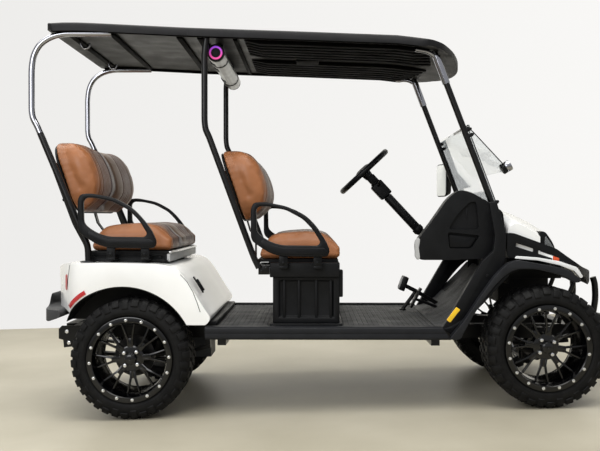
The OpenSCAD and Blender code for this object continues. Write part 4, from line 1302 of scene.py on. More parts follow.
for line, y, radius, bend, slot, material, name, stands in struts:
    keep(bothSides(bentTube(line, y, radius, bend, 7)), name, "chassis", material, stands)
# flat legs stiffen the black part of the rear struts
leg = slab(rounded(millimetres([(-455, 1362), (-424, 1340), (-250, 925), (-200, 800), (-197, 740),
                                (-226, 740), (-228, 800),
                                (-285, 905)]), 0.02, 3), 0.5125, 0.5275)
keep(bothSides(softEdges(leg, 0.003, 2)), "rear_leg_plates", "chassis", powderCoat)
feet = []
for s in (-1, 1):
    feet.append(blockMm((590, s * 506 - 6, 668), (643.5, s * 506 + 6, 712), 2))
    feet.append(blockMm((-245, s * 520 - 24, 726.4), (-180, s * 520 + 24, 733), 2))
    for x, z in ((606, 684), (628, 700)):
        feet.append(disc((x / 1000, s * 0.514, z / 1000), 0.0068, 0.008, "Y", 6, 0.001))
keep(join(feet), "strut_feet", "chassis", powderCoat)


def roofPlan():
    # the body's kind of plan turned about, so that the bow is at the front
    nose = [(-x, y) for x, y in bowedPlan(0, 360, -1598, 560, 1000, 150)]
    rear = []
    for s, start in ((-1, 270), (1, 180)):
        turn = [radians(start - 9 * k) for k in range(11)]
        rear += [((-360 + 40 * cos(t)) / 1000, (s * 520 + 40 * sin(t)) / 1000) for t in turn]
    return nose[1:-1] + rear


def makeRoofPanel(x0, x1):
    count = 28
    xs = [-400 + 1998 * k / count for k in range(count + 1)]
    top = [(x, roofLevel(x)) for x in xs]
    under = [(x + 2, roofLevel(x, roof["thick"])) for x in reversed(xs)]
    panel = slab(millimetres(top + under), -0.545, 0.545)
    edit(panel)
    # the edges roll down and out
    for s in (-1, 1):
        pickFaces(panel, lambda c, n: n.y * s > 0.9)
        bpy.ops.mesh.extrude_region_move(TRANSFORM_OT_translate={"value": (0, s * 0.009, -0.003)})
        bpy.ops.mesh.extrude_region_move(TRANSFORM_OT_translate={"value": (0, s * 0.006, -0.008)})
    leave()
    outward(panel)
    carve(panel, planSlab(roofPlan(), 1.5, 2.0), "INTERSECT")
    carve(panel, blockMm((x0, -700, 1500), (x1, 700, 2000)), "INTERSECT")
    return softEdges(panel, 0.006, 3, 40, 45)


keep(makeRoofPanel(-500, roof["seam"]), "roof_panel_rear", "chassis", roofBlack, ("roof_rear",))
keep(makeRoofPanel(roof["seam"] + 0.4, 1700), "roof_panel_front", "chassis", roofBlack,
     ("roof_front",))


def makeRoofRibs():
    ribs = []
    for y in (-440, -370, -300, -230, -160, -90, 90, 160, 230, 300, 370, 440):
        reach = 1470 - abs(y) * 0.16
        xs = [520 + (reach - 520) * t / 12 for t in range(13)]
        depth = [4 + 14 * min(1, (x - 520) / 60, (reach - x) / 60 + 0.05) for x in xs]
        line = [(x, roofLevel(x, roof["thick"] + 0.2)) for x in xs]
        line += [(x, roofLevel(x, roof["thick"] + d)) for x, d in reversed(list(zip(xs, depth)))]
        rib = slab(millimetres(line), (y - 20) / 1000, (y + 20) / 1000)
        ribs.append(softEdges(rib, 0.006, 3, 50, 50))
    for x0, x1, drop, half in ((300, 340, 44, 0.5), (470, 490, 44, 0.5), (-330, -300, 42, 0.49),
                               (-120, -90, 42, 0.49), (200, 230, 42, 0.49)):
        line = [(x0, roofLevel(x0, 30.2)), (x1, roofLevel(x1, 30.2)), (x1, roofLevel(x1, drop)),
                (x0, roofLevel(x0, drop))]
        ribs.append(softEdges(slab(millimetres(line), -half, half), 0.004))
    ribs.append(blockMm((760, -60, roofLevel(800, 52)), (880, 60, roofLevel(800, 30)), 6, 3))
    return join(ribs)


keep(makeRoofRibs(), "roof_ribs", "chassis", roofUnder)


def makeRoofLip():
    # the gutter strip under the roof's edge
    strips = []
    for s in (-1, 1):
        xs = [-380 + 1720 * t / 24 for t in range(25)]
        line = [(x, roofLevel(x, 26)) for x in xs] + [(x, roofLevel(x, 42)) for x in reversed(xs)]
        lip = slab(millimetres(line), s * 0.528, s * 0.548)
        strips.append(softEdges(lip, 0.004, 2, 50, 50))
    return join(strips)


keep(makeRoofLip(), "roof_gutters", "chassis", roofUnder)


def makeRoofBrackets():
    # bright brackets carry the roof on the front struts
    parts = []
    for s in (-1, 1):
        parts.append(sideTube(((1486, 1577), (1463, 1639), (1436, 1710)), s * 0.43, 0.0185, 6))
        elbow = rounded([(1.44, s * 0.43, 1.70), (1.40, s * 0.44, 1.728),
                         (1.33, s * 0.47, roofLevel(1330, 42) / 1000)], 0.03, 6, closed=False)
        parts.append(tube(elbow, 0.011, 5))
    return join(parts)


keep(makeRoofBrackets(), "roof_brackets", "chassis", chrome)
hookParts = [tube(rounded([(-0.30, y, 1.815), (-0.30, y, 1.79), (-0.285, y, 1.772), (-0.262, y, 1.778),
                           (-0.258, y, 1.8)], 0.01, 4, closed=False), 0.005, 4)
             for y in (-0.3, 0.3)]
keep(join(hookParts), "roof_hooks", "chassis", chrome)
print("roof ready")


# sound bar

bar = {"x": 386, "z": 1720, "radius": 42}


def makeSoundBar():
    profile = []
    for k in range(48):
        # fine grooves run the length of the extrusion
        angle = 2 * pi * k / 48
        r = bar["radius"] - (1.6 if k % 4 == 1 else 0)
        profile.append((bar["x"] + r * cos(angle), bar["z"] + r * sin(angle)))
    body = slab(millimetres(profile), -0.452, 0.452)
    shade(body, 25)
    slots = []
    for y in (-330, -190, 190, 330):
        cutter = blockMm((bar["x"] - 60, y - 45, bar["z"] - 46), (bar["x"] - 20, y + 45, bar["z"] - 14), 4)
        carve(body, cutter)
        slots.append(disc((0.3665, y / 1000, 1.7005), 0.02, 0.084, "Y", 20, 0.003))
    shade(body, 25)
    return body, join(slots)


barBody, barVents = makeSoundBar()
keep(barBody, "sound_bar_body", "chassis", barGrey, ("sound_bar",))
keep(barVents, "sound_bar_vents", "chassis", trimBlack)
caps = [disc((0.386, s * 0.463, 1.72), 0.0415, 0.023, "Y", 48, 0.003) for s in (-1, 1)]
caps += [disc((0.386, s * 0.4735, 1.72), 0.019, 0.004, "Y", 32, 0.001) for s in (-1, 1)]
caps += [softEdges(slab(millimetres([(372, 1758), (400, 1758), (403, roofLevel(403, 30.4)),
                                     (369, roofLevel(369, 30.4))]),
                        (y - 14) / 1000, (y + 14) / 1000), 0.002) for y in (-300, 300)]
caps += [disc((0.386, y / 1000, 1.72), 0.0438, 0.026, "Y", 48, 0.002) for y in (-300, 300)]
keep(join(caps), "sound_bar_caps", "chassis", trimBlack)
rings = []
for s in (-1, 1):
    ring = turned([(s * 0.4742, 0.0225), (s * 0.4758, 0.0245), (s * 0.4758, 0.0305), (s * 0.4742, 0.0325),
                   (s * 0.473, 0.0325), (s * 0.473, 0.0225)], 64)
    setAt(ring, (0.386, 0, 1.72))
    shade(ring, 40)
    rings.append(ring)
keep(join(rings), "sound_bar_light_rings", "chassis", lightRing)
print("sound bar ready")


# dash

# the wheel's middle, and how many degrees the column slopes down from level
column = {"hub": (1.149, 0.27, 1.177), "slope": 47}


def makeDash():
    side = rounded(millimetres([
        (1474, 735), (1462, 820), (1520, 900), (1606, 1010), (1650, 1032), (1690, 1004), (1750, 965),
        (1762, 850),
        (1680, 742),
    ]), 0.02, 5)
    shell = slab(side, -0.468, 0.468)
    locker = slab(rounded(millimetres([
        (1345, 735), (1336, 820), (1400, 900), (1490, 1030), (1542, 1070), (1600, 1058), (1690, 1004),
        (1640, 800),
        (1560, 735),
    ]), 0.03, 5), -0.468, -0.381)
    carve(shell, locker, "UNION")
    softEdges(shell, 0.012, 4, 40, 45)
    # the pocket towards the passenger, and cup wells on top
    carve(shell, blockMm((1400, -368, 771), (1558, -152, 849), 10, 4))
    for s in (-1, 1):
        carve(shell, disc((1.638, s * 0.09, 1.07), 0.0345, 0.3, "Z", 40))
        carve(shell, sideTube(((1790, 790), (1714, 980), (1590, 1306)), s * 0.43, 0.0154, 6))
        # each end is hollowed to a shallow panel over a deeper tray
        panel = [(1490, 880), (1530, 948), (1590, 1010), (1622, 1014), (1636, 880)]
        carve(shell, slab(rounded(millimetres(panel), 0.02, 5), s * 0.452, s * 0.49))
        tray = [(1496, 790), (1600, 790), (1640, 852), (1488, 868)]
        carve(shell, slab(rounded(millimetres(tray), 0.012, 4), s * 0.44, s * 0.49))
    carve(shell, drawColumn(0.0214, 0.28, 0.5015))
    shade(shell, 40)
    return shell


def columnPoint(along, side=0.0, up=0.0):
    # a spot on the steering column's axis, in metres from the wheel's middle towards the floor
    angle = radians(column["slope"])
    hubX, hubY, hubZ = column["hub"]
    x = hubX + along * cos(angle) + up * sin(angle)
    z = hubZ - along * sin(angle) + up * cos(angle)
    return (x, hubY + side, z)


def onColumn(obj, *where):
    return setAt(obj, columnPoint(*where), (radians(90 + column["slope"]), "Y"))


def drawColumn(radius, a, b, sides=32, bevel=0.0):
    return onColumn(disc((0, 0, 0), radius, b - a, "Z", sides, bevel), (a + b) / 2)


keep(makeDash(), "dash_moulding", "chassis", trimBlack, ("dash",))
# pale pad on the locker's lower corner
corner = [(1334, 752), (1333, 824), (1346, 842), (1357, 834), (1351, 790), (1357, 744), (1346, 734)]
pad = slab(rounded(millimetres(corner), 0.006, 3), -0.4695, -0.44)
keep(softEdges(pad, 0.003, 3), "dash_corner_pads", "chassis", lightGrey)
details = []
for s in (-1, 1):
    # step under each side panel and the slim slot in it
    ledge = [(1500, 794), (1594, 794), (1628, 842), (1494, 856)]
    details.append(softEdges(slab(rounded(millimetres(ledge), 0.01, 3), s * 0.4405, s * 0.452), 0.004, 3))
    details.append(blockMm((1578, s * 453 - 3, 930), (1584, s * 453 + 3, 980), 1.5))
details.append(disc((1.506, 0.09, 0.89), 0.013, 0.03, "X", 24, 0.002))
keep(join(details), "dash_details", "chassis", armBlack)
key = join([disc((1.4945, 0.09, 0.89), 0.007, 0.03, "X", 20, 0.001),
            blockMm((1462, 84, 883), (1484, 96, 897), 2)])
keep(key, "dash_key", "chassis", zinc)

# steering column and wheel

columnParts = [drawColumn(radius, a, b, 32, bevel) for radius, a, b, bevel in (
    (0.0205, 0.1, 0.5, 0.001), (0.025, 0.17, 0.44, 0.003), (0.026, 0.062, 0.1, 0.003),
    (0.03, 0.405, 0.432, 0.004))]
columnParts.append(onColumn(blockMm((-36, -38, -48), (36, 38, 48), 9, 4), 0.118))
columnParts.append(onColumn(blockMm((-24, -20, -26), (24, 20, 26), 6, 3), 0.046, 0, 0.004))
for s in (-1, 1):
    # stalk on each side of the shroud
    columnParts.append(tube([columnPoint(0.09, s * 0.036), columnPoint(0.084, s * 0.062, 0.01),
                             columnPoint(0.07, s * 0.1, 0.018)], 0.006, 4))
keep(join(columnParts), "column_shroud", "chassis", trimBlack, ("steering_column",))


def makeSteeringWheel():
    ring = turned([(-0.022 + 0.016 * sin(2 * pi * k / 16),
                    0.16 + 0.016 * cos(2 * pi * k / 16)) for k in range(16)], 96)
    shade(ring, 60)
    grips = []
    for angle in (-120, 120):
        # thumb swells where the side spokes meet the rim
        grip = block((-0.012, -0.0345, 0.142), (0.012, -0.0125, 0.168), 0.006, 3)
        grips.append(turnAll(grip, (radians(angle), "Y", (0, 0, 0))))
    pad = turned([(-0.012, 0.0005), (-0.012, 0.046), (-0.028, 0.05), (-0.04, 0.044), (-0.045, 0.03),
                  (-0.046, 0.0005)], 48)
    shade(pad, 40)
    spokes = []
    for k in range(3):
        spoke = block((-0.0155, -0.026, 0.03), (0.0155, -0.014, 0.155), 0.004, 3)
        spokes.append(turnAll(spoke, (k * 2 * pi / 3, "Y", (0, 0, 0))))
    hub = turned([(-0.014, 0.0105), (-0.014, 0.03), (0.024, 0.024), (0.024, 0.0105)], 32)
    shade(hub, 40)
    return join([ring, pad, hub] + grips + spokes)


steering = makeSteeringWheel()
# the spun axis becomes the column's, with the lower spoke towards the driver
setAt(steering, column["hub"], (radians(90 + column["slope"]), "Y"), (radians(-90), "Z"), (radians(90), "X"))
keep(steering, "steering_wheel_grip", "steering_wheel", armBlack, ("steering_wheel",))

# pedals

# where each pedal's pad is, and how it leans
brake = (1.352, 0.26, 0.57), (radians(20), "Y")
throttle = (1.408, 0.145, 0.5), (radians(28), "Y")
pedalParts = []
pad = blockMm((-16, -46, -40), (16, 46, 40), 5, 3)
edit(pad)
pickFaces(pad, lambda c, n: n.x < -0.9)
bpy.ops.mesh.inset(thickness=0.007, depth=-0.002)
leave()
pedalParts.append(setAt(pad, *brake))
pedalParts.append(tube([(1.356, 0.26, 0.56), (1.42, 0.26, 0.528), (1.545, 0.26, 0.4555)], 0.0115, 5))
pedalParts.append(tube([(1.424, 0.262, 0.528), (1.39, 0.262, 0.48), (1.347, 0.262, 0.424)], 0.0105, 5))
pedalParts.append(disc((1.35, 0.262, 0.4225), 0.0188, 0.013, "Z", 24, 0.003))
pedalParts.append(setAt(blockMm((-6.5, -27, -60), (6.5, 27, 60), 4, 3), *throttle))
pedalParts.append(tube([(1.41, 0.145, 0.491), (1.45, 0.145, 0.478), (1.532, 0.145, 0.447)], 0.0078, 5))
for k in range(4):
    rib = blockMm((-9.5, -22, -46 + k * 26), (-5, 22, -38 + k * 26), 1.5)
    pedalParts.append(setAt(rib, *throttle))
keep(join(pedalParts), "pedal_set", "chassis", powderCoat, ("pedals",))
padFace = setAt(blockMm((-18.5, -38, -32), (-14, 38, 32), 1.5), *brake)
keep(padFace, "brake_pad_face", "chassis", lightGrey)
print("dash and controls ready")


# front cowl, side trim and lamps

def cowlPlan(x0, x1, half, centre, radius):
    # plan of the nose: straight sides, bowed front
    line = [(x0, -half)]
    reach = math.asin(min(1.0, (half - 50) / radius))
    for k in range(25):
        angle = -reach + 2 * reach * k / 24
        line.append((min(x1, centre + radius * cos(angle)), radius * sin(angle)))
    line.append((x0, half))
    return rounded(millimetres(line), 0.02, 4)


def makeCowl():
    side = rounded(millimetres([
        (1764, 966), (1800, 984), (1852, 966), (1950, 918), (2020, 874), (2056, 836), (2076, 768),
        (2086, 700), (2060, 690),
        (1772, 690),
    ]), 0.024, 4)
    hood = slab(side, -0.5, 0.5)
    splitAt(hood, 1, (-0.46, -0.42, -0.36, -0.3, -0.24, -0.18, -0.12, -0.06, 0.0, 0.06, 0.12, 0.18, 0.24, 0.3,
                      0.36, 0.42, 0.46))
    splitAt(hood, 0, (1.82, 1.86, 1.9, 1.95, 2.0))
    for vertex in hood.data.vertices:
        # the bonnet is crowned across its width, and its nose is bowed
        side = abs(vertex.co.y) / 0.45
        ahead = max(0.0, min(1.0, (vertex.co.x - 1.79) / 0.2))
        if vertex.co.z > 0.72:
            vertex.co.z -= (0.064 - 0.05 * ahead) * side ** 1.7 * min(1.0, (vertex.co.z - 0.72) / 0.1)
        vertex.co.x -= 0.092 * ahead * side ** 2
    carve(hood, blockMm((1700, -600, 600), (2300, 600, 745)))
    for s in (-1, 1):
        carve(hood, blockMm((1918, s * 496 - 107, 700), (2300, s * 496 + 107, 872)))
        carve(hood, sideTube(((1790, 790), (1714, 980)), s * 0.43, 0.0154, 6))
    return softEdges(hood, 0.012, 4, 38, 45)


keep(makeCowl(), "bonnet", "chassis", glossWhite, ("front_cowl",))


def makeTrim():
    side = rounded(millimetres([
        (1756, 866), (1790, 864), (1990, 792), (2064, 756), (2140, 722), (2206, 690), (2262, 656),
        (2250, 632), (2184, 622), (2170, 664),
        (2100, 702), (1900, 744), (1758, 746),
    ]), 0.014, 3)
    belt = slab(side, -0.53, 0.53)
    carve(belt, planSlab(cowlPlan(1700, 2280, 532, 1500, 768), 0.5, 1.1), "INTERSECT")
    carve(belt, planSlab(cowlPlan(1600, 2180, 486, 1500, 700), 0.5, 1.1))
    splitAt(belt, 1, [k * 0.05 for k in range(-9, 10)])
    for vertex in belt.data.vertices:
        # the front corners fall away
        ahead = max(0.0, min(1.0, (vertex.co.x - 2.0) / 0.14))
        vertex.co.z -= 0.026 * ahead * (abs(vertex.co.y) / 0.45) ** 2
    for s in (-1, 1):
        # two slots along each side
        for x0, x1, z0, z1 in ((1800, 1884, 818, 791), (1908, 1998, 784, 754)):
            slot = slab(rounded(millimetres([(x0, z0), (x1, z1), (x1 - 2, z1 - 16), (x0 - 2, z0 - 17)]),
                                0.004, 2), s * 0.42, s * 0.6)
            carve(belt, slot)
    return softEdges(belt, 0.003, 3, 38, 45)


# a dark panel closes the nose between the bonnet and the belt
nosePanel = planSlab(cowlPlan(1780, 2240, 500, 1440, 690), 0.7, 0.712)
softEdges(nosePanel, 0.002, 2)
keep(join([makeTrim(), nosePanel]), "side_belt", "chassis", trimBlack, ("front_trim",))
inserts = []
ambers = []
for s in (-1, 1):
    for x0, x1, z0, z1 in ((1796, 1888, 820, 790), (1902, 1978, 784, 756)):
        strip = slab(millimetres([(x0, z0), (x1, z1), (x1, z1 - 22), (x0, z0 - 22)]), s * 0.486, s * 0.4975)
        inserts.append(softEdges(strip, 0.002))
    tip = slab(millimetres([(1979, 756), (2008, 746), (2008, 724), (1979, 732)]), s * 0.486, s * 0.4975)
    ambers.append(softEdges(tip, 0.002))
keep(join(inserts), "belt_inserts", "chassis", glossWhite)
keep(join(ambers), "belt_markers", "chassis", amberLens)

# white skirt under the belt, over each flare
skirts = []
for s in (-1, 1):
    skirt = slab(rounded(millimetres([
        (1790, 745), (1900, 736), (2000, 714), (2070, 688), (2100, 652), (2112, 660), (2084, 704),
        (2000, 733), (1900, 750),
        (1800, 757)]), 0.008, 3), s * 0.478, s * 0.527)
    skirts.append(softEdges(skirt, 0.004, 3))
keep(join(skirts), "wing_skirts", "chassis", glossWhite)

housings = []
lenses = []
for s in (-1, 1):
    pod = slab(rounded(millimetres([(1918, 778), (1914, 846), (1930, 874), (1954, 868), (1992, 816),
                                    (2014, 776), (1996, 756), (1950, 764)]), 0.02, 4),
               s * 0.388, s * 0.497)
    carve(pod, planSlab(cowlPlan(1700, 2240, 500, 1400, 742), 0.6, 1.1), "INTERSECT")
    housings.append(softEdges(pod, 0.008, 4, 38, 45))
    lens = slab(rounded(millimetres([(1948, 796), (1952, 852), (1980, 816), (2002, 780), (1990, 770)]), 0.008, 3),
                s * 0.402, s * 0.4985)
    carve(lens, planSlab(cowlPlan(1700, 2240, 502, 1400, 745), 0.6, 1.1), "INTERSECT")
    lenses.append(softEdges(lens, 0.003, 2, 38, 45))
keep(join(housings), "headlight_housings", "chassis", trimBlack)
keep(join(lenses), "headlight_lenses", "chassis", clearLens, ("headlights",))
print("front body ready")

# flares over the front wheels

def makeFlare():
    outerLine = [(1478, 372), (1490, 390), (1550, 464), (1619, 570), (1688, 667), (1747, 727), (1793, 741),
                 (1880, 726),
                 (1990, 706), (2040, 688), (2090, 644)]
    innerLine = [(2060, 634), (2010, 662), (1980, 674), (1872, 700), (1785, 699), (1736, 672), (1688, 624),
                 (1640, 562),
                 (1596, 496), (1542, 400), (1530, 372)]
    side = rounded(millimetres(outerLine + innerLine), 0.03, 4)
    flare = slab(side, 0.5375, 0.5885)
    return softEdges(flare, 0.004, 3, 38, 45)


keep(bothSides(makeFlare()), "front_flares", "chassis", flareBlack, ("wheel_arches",))


def makeInnerWing():
    # the liner over the tyre, inboard of the flare
    line = [(1600, 520), (1680, 600), (1760, 676), (1815, 700), (1900, 700), (2000, 684), (2060, 650)]
    under = [(x, z - 6) for x, z in reversed(line)]
    wing = slab(rounded(millimetres(line + under), 0.02, 3), 0.36, 0.536)
    return softEdges(wing, 0.002, 2)


keep(bothSides(makeInnerWing()), "front_arch_liners", "chassis", trimBlack)
# dark panels that close the gap between the toe board, the dash and the belt
sidePanel = slab(rounded(millimetres([
    (1670, 1010), (1706, 1012), (1752, 851), (1746, 729), (1699, 663), (1629, 565), (1560, 457), (1499, 386),
    (1452, 414),
    (1504, 504), (1583, 640), (1638, 732), (1690, 780), (1699, 851),
]), 0.01, 3), 0.5, 0.5355)
softEdges(sidePanel, 0.004, 3, 38, 45)
sideBolt = disc((1.664, 0.5365, 0.664), 0.008, 0.005, "Y", 20, 0.0015)
keep(bothSides(join([sidePanel, sideBolt])), "toe_side_panels", "chassis", trimBlack)
# what shows over the front tyres: the tray under the bonnet and the inner walls of the wings
tray = [blockMm((1796, -150, 500), (2050, 150, 742), 8, 3)]
tray += [blockMm((1724, s * 340 - 3, 640), (2060, s * 340 + 3, 742), 1.5) for s in (-1, 1)]
keep(join(tray), "under_bonnet_tray", "chassis", trimBlack)
frontPanel = blockMm((1772, -440, 620), (1786, 440, 800), 3)
keep(frontPanel, "front_bulkhead", "chassis", trimBlack)

keep(softEdges(sideReflector, 0.0012, 2), "side_reflectors", "chassis", yellowLens)


# bumpers

def makeRearBumper():
    bar = slab(rounded(millimetres([(-476, 452), (-478, 545), (-464, 560), (-452, 503), (-340, 503),
                                    (-335, 470), (-400, 447)]), 0.012, 3), -0.565, 0.565)
    carve(bar, planSlab(bowedPlan(0, 200, -478, 565, 2200, 120), 0.3, 0.8), "INTERSECT")
    for s in (1, -1):
        carve(bar, disc((body["archX"] / 1000, s * 0.6, body["archZ"] / 1000), 0.341, 0.53, "Y", 96))
    carve(bar, planSlab(bowedPlan(0.5, 300), 0.503, 0.8))
    return softEdges(bar, 0.005, 3, 38, 45)


keep(makeRearBumper(), "rear_bumper_skin", "chassis", bumperGrey, ("bumpers",))
frontBar = []
for s in (-1, 1):
    horn = ((2151, 372), (2175, 372), (2232, 400), (2264, 450), (2276, 530), (2272, 604), (2262, 636))
    frontBar.append(tube(rounded([(x / 1000, s * 0.19, z / 1000) for x, z in horn], 0.03, 5, closed=False),
                         0.0158, 6))
    frontBar.append(sideTube(((2092, 402), (2094, 416), (2140, 540), (2166, 606)), s * 0.19, 0.0118, 5))
frontBar.append(disc((2.292, 0, 0.43), 0.0238, 0.64, "Y", 32, 0.004))
keep(join(frontBar), "front_bumper_bar", "chassis", powderCoat)

hardware = []
for s in (-1, 1):
    for x, z in ((-372, 372), (-362, 316)):
        hardware.append(disc((x / 1000, s * 0.3115, z / 1000), 0.0105, 0.007, "Y", 6, 0.0012))
keep(join(hardware), "bracket_bolts", "chassis", zinc)

# windshield fittings and knob

paneFoot, paneFold = Vector((1.7279, 0.9855)), Vector((1.5837, 1.3683))
paneUp = (paneFold - paneFoot).normalized()
paneOut = Vector((paneUp.y, -paneUp.x))
paneTurn = (-math.atan2(paneOut.y, paneOut.x), "Y")
dress(nodes["windshield"], acrylic)
clips = []
for s in (-1, 1):
    for t in (0.06, 0.9, 0.97):
        p = paneFoot + paneUp * (t * (paneFold - paneFoot).length) - paneOut * 0.008
        clip = blockMm((-20, -12, -9), (22, 12, 9), 3)
        clips.append(setAt(clip, (p.x, s * 0.43, p.y), paneTurn))
        stud = disc((0, 0, 0), 0.006, 0.014, "X", 16, 0.001)
        p2 = p + paneOut * 0.021
        clips.append(setAt(stud, (p2.x, s * 0.43, p2.y), paneTurn))
keep(join(clips), "windshield_clips", "chassis", trimBlack)
fold = disc((paneFold.x + paneOut.x * 0.008, 0, paneFold.y + 0.006), 0.0075, 0.86, "Y", 16, 0.001)
keep(fold, "windshield_fold_rail", "chassis", acrylic)
knob = (1.766, -0.4, 1.172), (radians(58), "Y")
base = setAt(disc((0, 0, 0), 0.026, 0.02, "Z", 40, 0.003), *knob)
keep(base, "pane_knob_base", "chassis", trimBlack)
capPiece = setAt(disc((0, 0, 0.024), 0.0265, 0.028, "Z", 40, 0.004), *knob)
keep(capPiece, "pane_knob_cap", "chassis", chrome)


def makeMirror():
    shape = rounded([(-0.068, -0.098), (0.068, -0.098), (0.068, 0.098), (-0.068, 0.098)], 0.03, 6)
    housing = frontSlab(shape, -0.021, 0.021)
    edit(housing)
    pickFaces(housing, lambda c, n: n.x > 0.9)
    bpy.ops.transform.resize(value=(1, 0.7, 0.8))
    leave()
    softEdges(housing, 0.008, 4, 30, 50)
    glass = frontSlab(rounded([(-0.06, -0.09), (0.06, -0.09), (0.06, 0.09), (-0.06, 0.09)], 0.025, 6),
                      -0.0225, -0.019)
    softEdges(glass, 0.001, 2)
    for piece in (housing, glass):
        setAt(piece, (1.622, 0.528, 1.153), (radians(18), "Z"))
    stem = tube([(1.648, 0.446, 1.16), (1.648, 0.462, 1.158), (1.652, 0.48, 1.15)], 0.008, 4)
    clamp = disc((1.648, 0.447, 1.16), 0.014, 0.012, "Y", 24, 0.002)
    return join([housing, stem, clamp]), glass


mirrorHousing, mirrorFace = makeMirror()
keep(mirrorHousing, "mirror_housing", "chassis", trimBlack, ("side_mirror",))
keep(mirrorFace, "mirror_face", "chassis", mirrorGlass)
print("windshield and mirror ready")

# the rest of the frame keeps its solids
for name, material in (
    ("chassis_frame", powderCoat), ("rear_axle", powderCoat), ("front_axle", powderCoat),
    ("leaf_springs", powderCoat), ("power_pack", packGrey), ("left_knuckle", powderCoat),
    ("right_knuckle", powderCoat), ("tie_rod", powderCoat),
    ("rear_seat_board", trimBlack), ("front_seat_board", trimBlack),
):
    dress(nodes[name], material)

springParts = []
for x, z, reach, rise in ((stance["wheelbase"], 0.2403, 0.205, 0.0055), (0.0, 0.2297, 0.33, 0.038)):
    for k in range(1, 3):
        # two shorter leaves under the main one
        span = reach * (0.78 - 0.24 * k)
        line = [(x + span * t / 6, z + rise * (span * t / 6 / reach) ** 2 - 0.0072 * k) for t in range(-6, 7)]
        under = [(px, pz - 0.0066) for px, pz in reversed(line)]
        springParts.append(slab(line + under, 0.169, 0.211))
    for off in (-0.04, 0.04):
        springParts.append(block((x + off - 0.005, 0.163, z - 0.022), (x + off + 0.005, 0.217, z + 0.02),
                                 0.002))
# these follow the axles, which stand level on the ground
leaves = setAt(bothSides(join(springParts)), (-stance["centre"], 0, 0))
keep(leaves, "spring_leaves", "chassis", powderCoat, (), raked=False)
dampers = []
for s in (-1, 1):
    for x0, z0, x1, z1 in ((-0.06, 0.235, -0.2, 0.395), (1.86, 0.245, 1.80, 0.36)):
        a, b = Vector((x0, s * 0.245, z0)), Vector((x1, s * 0.245, z1))
        dampers.append(tube([tuple(a), tuple(a.lerp(b, 0.55))], 0.019, 6))
        dampers.append(tube([tuple(a.lerp(b, 0.5)), tuple(b)], 0.0075, 5))
keep(join(dampers), "dampers", "chassis", zinc)
print("frame ready")


# floor, light and camera

studio = {"floor": "#BDB7A4", "wall": "#E9E8E5", "wallLeft": "#EEEDEB", "wallRight": "#F9F8F6", "wallSpan": 5.3,
          "wallWide": 60, "sky": 0.6, "key": 290, "fill": 95}


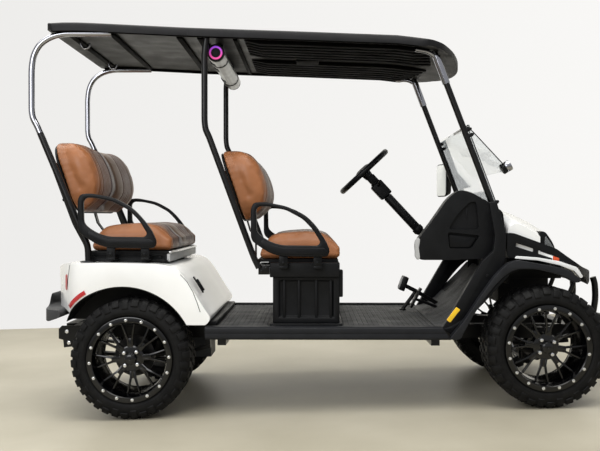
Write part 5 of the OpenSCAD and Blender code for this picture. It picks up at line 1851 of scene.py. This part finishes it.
def makeStage():
    deselect()
    bpy.ops.mesh.primitive_plane_add(size=60, location=(0, 0, 0))
    ground = bpy.context.active_object
    ground.name = "stage_floor"
    material, tree, shader = newMaterial("sealed concrete", studio["floor"], 0.45)
    place = addNode(tree, "ShaderNodeTexCoord")
    cloud = addNode(tree, "ShaderNodeTexNoise", {"Scale": 1.1, "Detail": 8.0}, Vector=place.outputs["Object"])
    ramp = addNode(tree, "ShaderNodeValToRGB", {}, Fac=cloud.outputs["Fac"])
    ramp.color_ramp.elements[0].position = 0.35
    ramp.color_ramp.elements[0].color = toLinear("#A39D8B")
    ramp.color_ramp.elements[1].position = 0.7
    ramp.color_ramp.elements[1].color = toLinear("#B7B1A0")
    tree.links.new(ramp.outputs["Color"], shader.inputs["Base Color"])
    dress(ground, material)
    bpy.ops.mesh.primitive_plane_add(size=1, location=(0, 3.1, 4.0), rotation=(pi / 2, 0, 0))
    wall = bpy.context.active_object
    wall.name = "stage_wall"
    wall.scale = (studio["wallWide"], 9, 1)
    material, tree, shader = newMaterial("painted wall", studio["wall"], 0.8)
    # what the camera sees of the wall is evenly lit, a little brighter towards the right
    place = addNode(tree, "ShaderNodeTexCoord")
    split = addNode(tree, "ShaderNodeSeparateXYZ", {}, Vector=place.outputs["Object"])
    edge = studio["wallSpan"] / studio["wallWide"] / 2
    across = addNode(tree, "ShaderNodeMapRange", {"From Min": -edge, "From Max": edge},
                     Value=split.outputs["X"])
    tone = addNode(tree, "ShaderNodeValToRGB", {}, Fac=across.outputs["Result"])
    tone.color_ramp.elements[0].color = toLinear(studio["wallLeft"])
    tone.color_ramp.elements[1].color = toLinear(studio["wallRight"])
    glow = addNode(tree, "ShaderNodeEmission", {}, Color=tone.outputs["Color"])
    ray = addNode(tree, "ShaderNodeLightPath")
    seen = addNode(tree, "ShaderNodeMath", {"operation": "MAXIMUM"}, i0=ray.outputs["Is Camera Ray"],
                   i1=ray.outputs["Is Transmission Ray"])
    mix = addNode(tree, "ShaderNodeMixShader", {}, i0=seen.outputs[0], i1=shader.outputs[0], i2=glow.outputs[0])
    # from behind it lets the view through
    clear = addNode(tree, "ShaderNodeBsdfTransparent")
    turned = addNode(tree, "ShaderNodeNewGeometry")
    oneSided = addNode(tree, "ShaderNodeMixShader", {}, i0=turned.outputs["Backfacing"], i1=mix.outputs[0],
                       i2=clear.outputs[0])
    tree.links.new(oneSided.outputs[0], tree.nodes["Material Output"].inputs["Surface"])
    dress(wall, material)
    return ground, wall


makeStage()
world = bpy.data.worlds.new("studio")
bpy.context.scene.world = world
world.use_nodes = True
background = world.node_tree.nodes["Background"]
background.inputs["Color"].default_value = toLinear("#F6F7F8")
background.inputs["Strength"].default_value = studio["sky"]


def addLamp(name, place, aim, size, power, colour="#FFFFFF"):
    lamp = bpy.data.lights.new(name, "AREA")
    lamp.shape = "RECTANGLE"
    lamp.size, lamp.size_y = size
    lamp.energy = power
    lamp.color = toLinear(colour)[:3]
    obj = bpy.data.objects.new(name, lamp)
    bpy.context.collection.objects.link(obj)
    obj.location = place
    obj.rotation_euler = (Vector(aim) - Vector(place)).to_track_quat("-Z", "Y").to_euler()
    return obj


addLamp("ceiling_panel", (-0.4, -0.6, 4.2), (0, 0, 0), (6, 4), studio["key"], "#FFFDF8")
addLamp("side_panel", (-2.2, -4.6, 2.6), (0, 0, 0.8), (3, 2), studio["fill"], "#FFFFFF")

shot = {"place": (-0.0615, -4.6739, 0.9159), "lens": 53.03, "yaw": 0.0137198, "pitch": 0.0095993,
        "roll": 0.0297861}
forward = Vector((-sin(shot["yaw"]) * cos(shot["pitch"]), cos(shot["yaw"]) * cos(shot["pitch"]),
                  -sin(shot["pitch"])))
right = Vector((cos(shot["yaw"]), sin(shot["yaw"]), 0))
down = forward.cross(right)
tiltRight = right * cos(shot["roll"]) + down * sin(shot["roll"])
tiltDown = down * cos(shot["roll"]) - right * sin(shot["roll"])
cameraData = bpy.data.cameras.new("camera")
cameraData.lens = shot["lens"]
cameraData.sensor_width = 36
cameraData.clip_end = 200
camera = bpy.data.objects.new("camera", cameraData)
bpy.context.collection.objects.link(camera)
facingOut = Matrix((tiltRight, -tiltDown, -forward)).transposed().to_4x4()
camera.matrix_world = Matrix.Translation(shot["place"]) @ facingOut
bpy.context.scene.camera = camera
bpy.context.scene.view_settings.view_transform = "Standard"
print("stage ready")
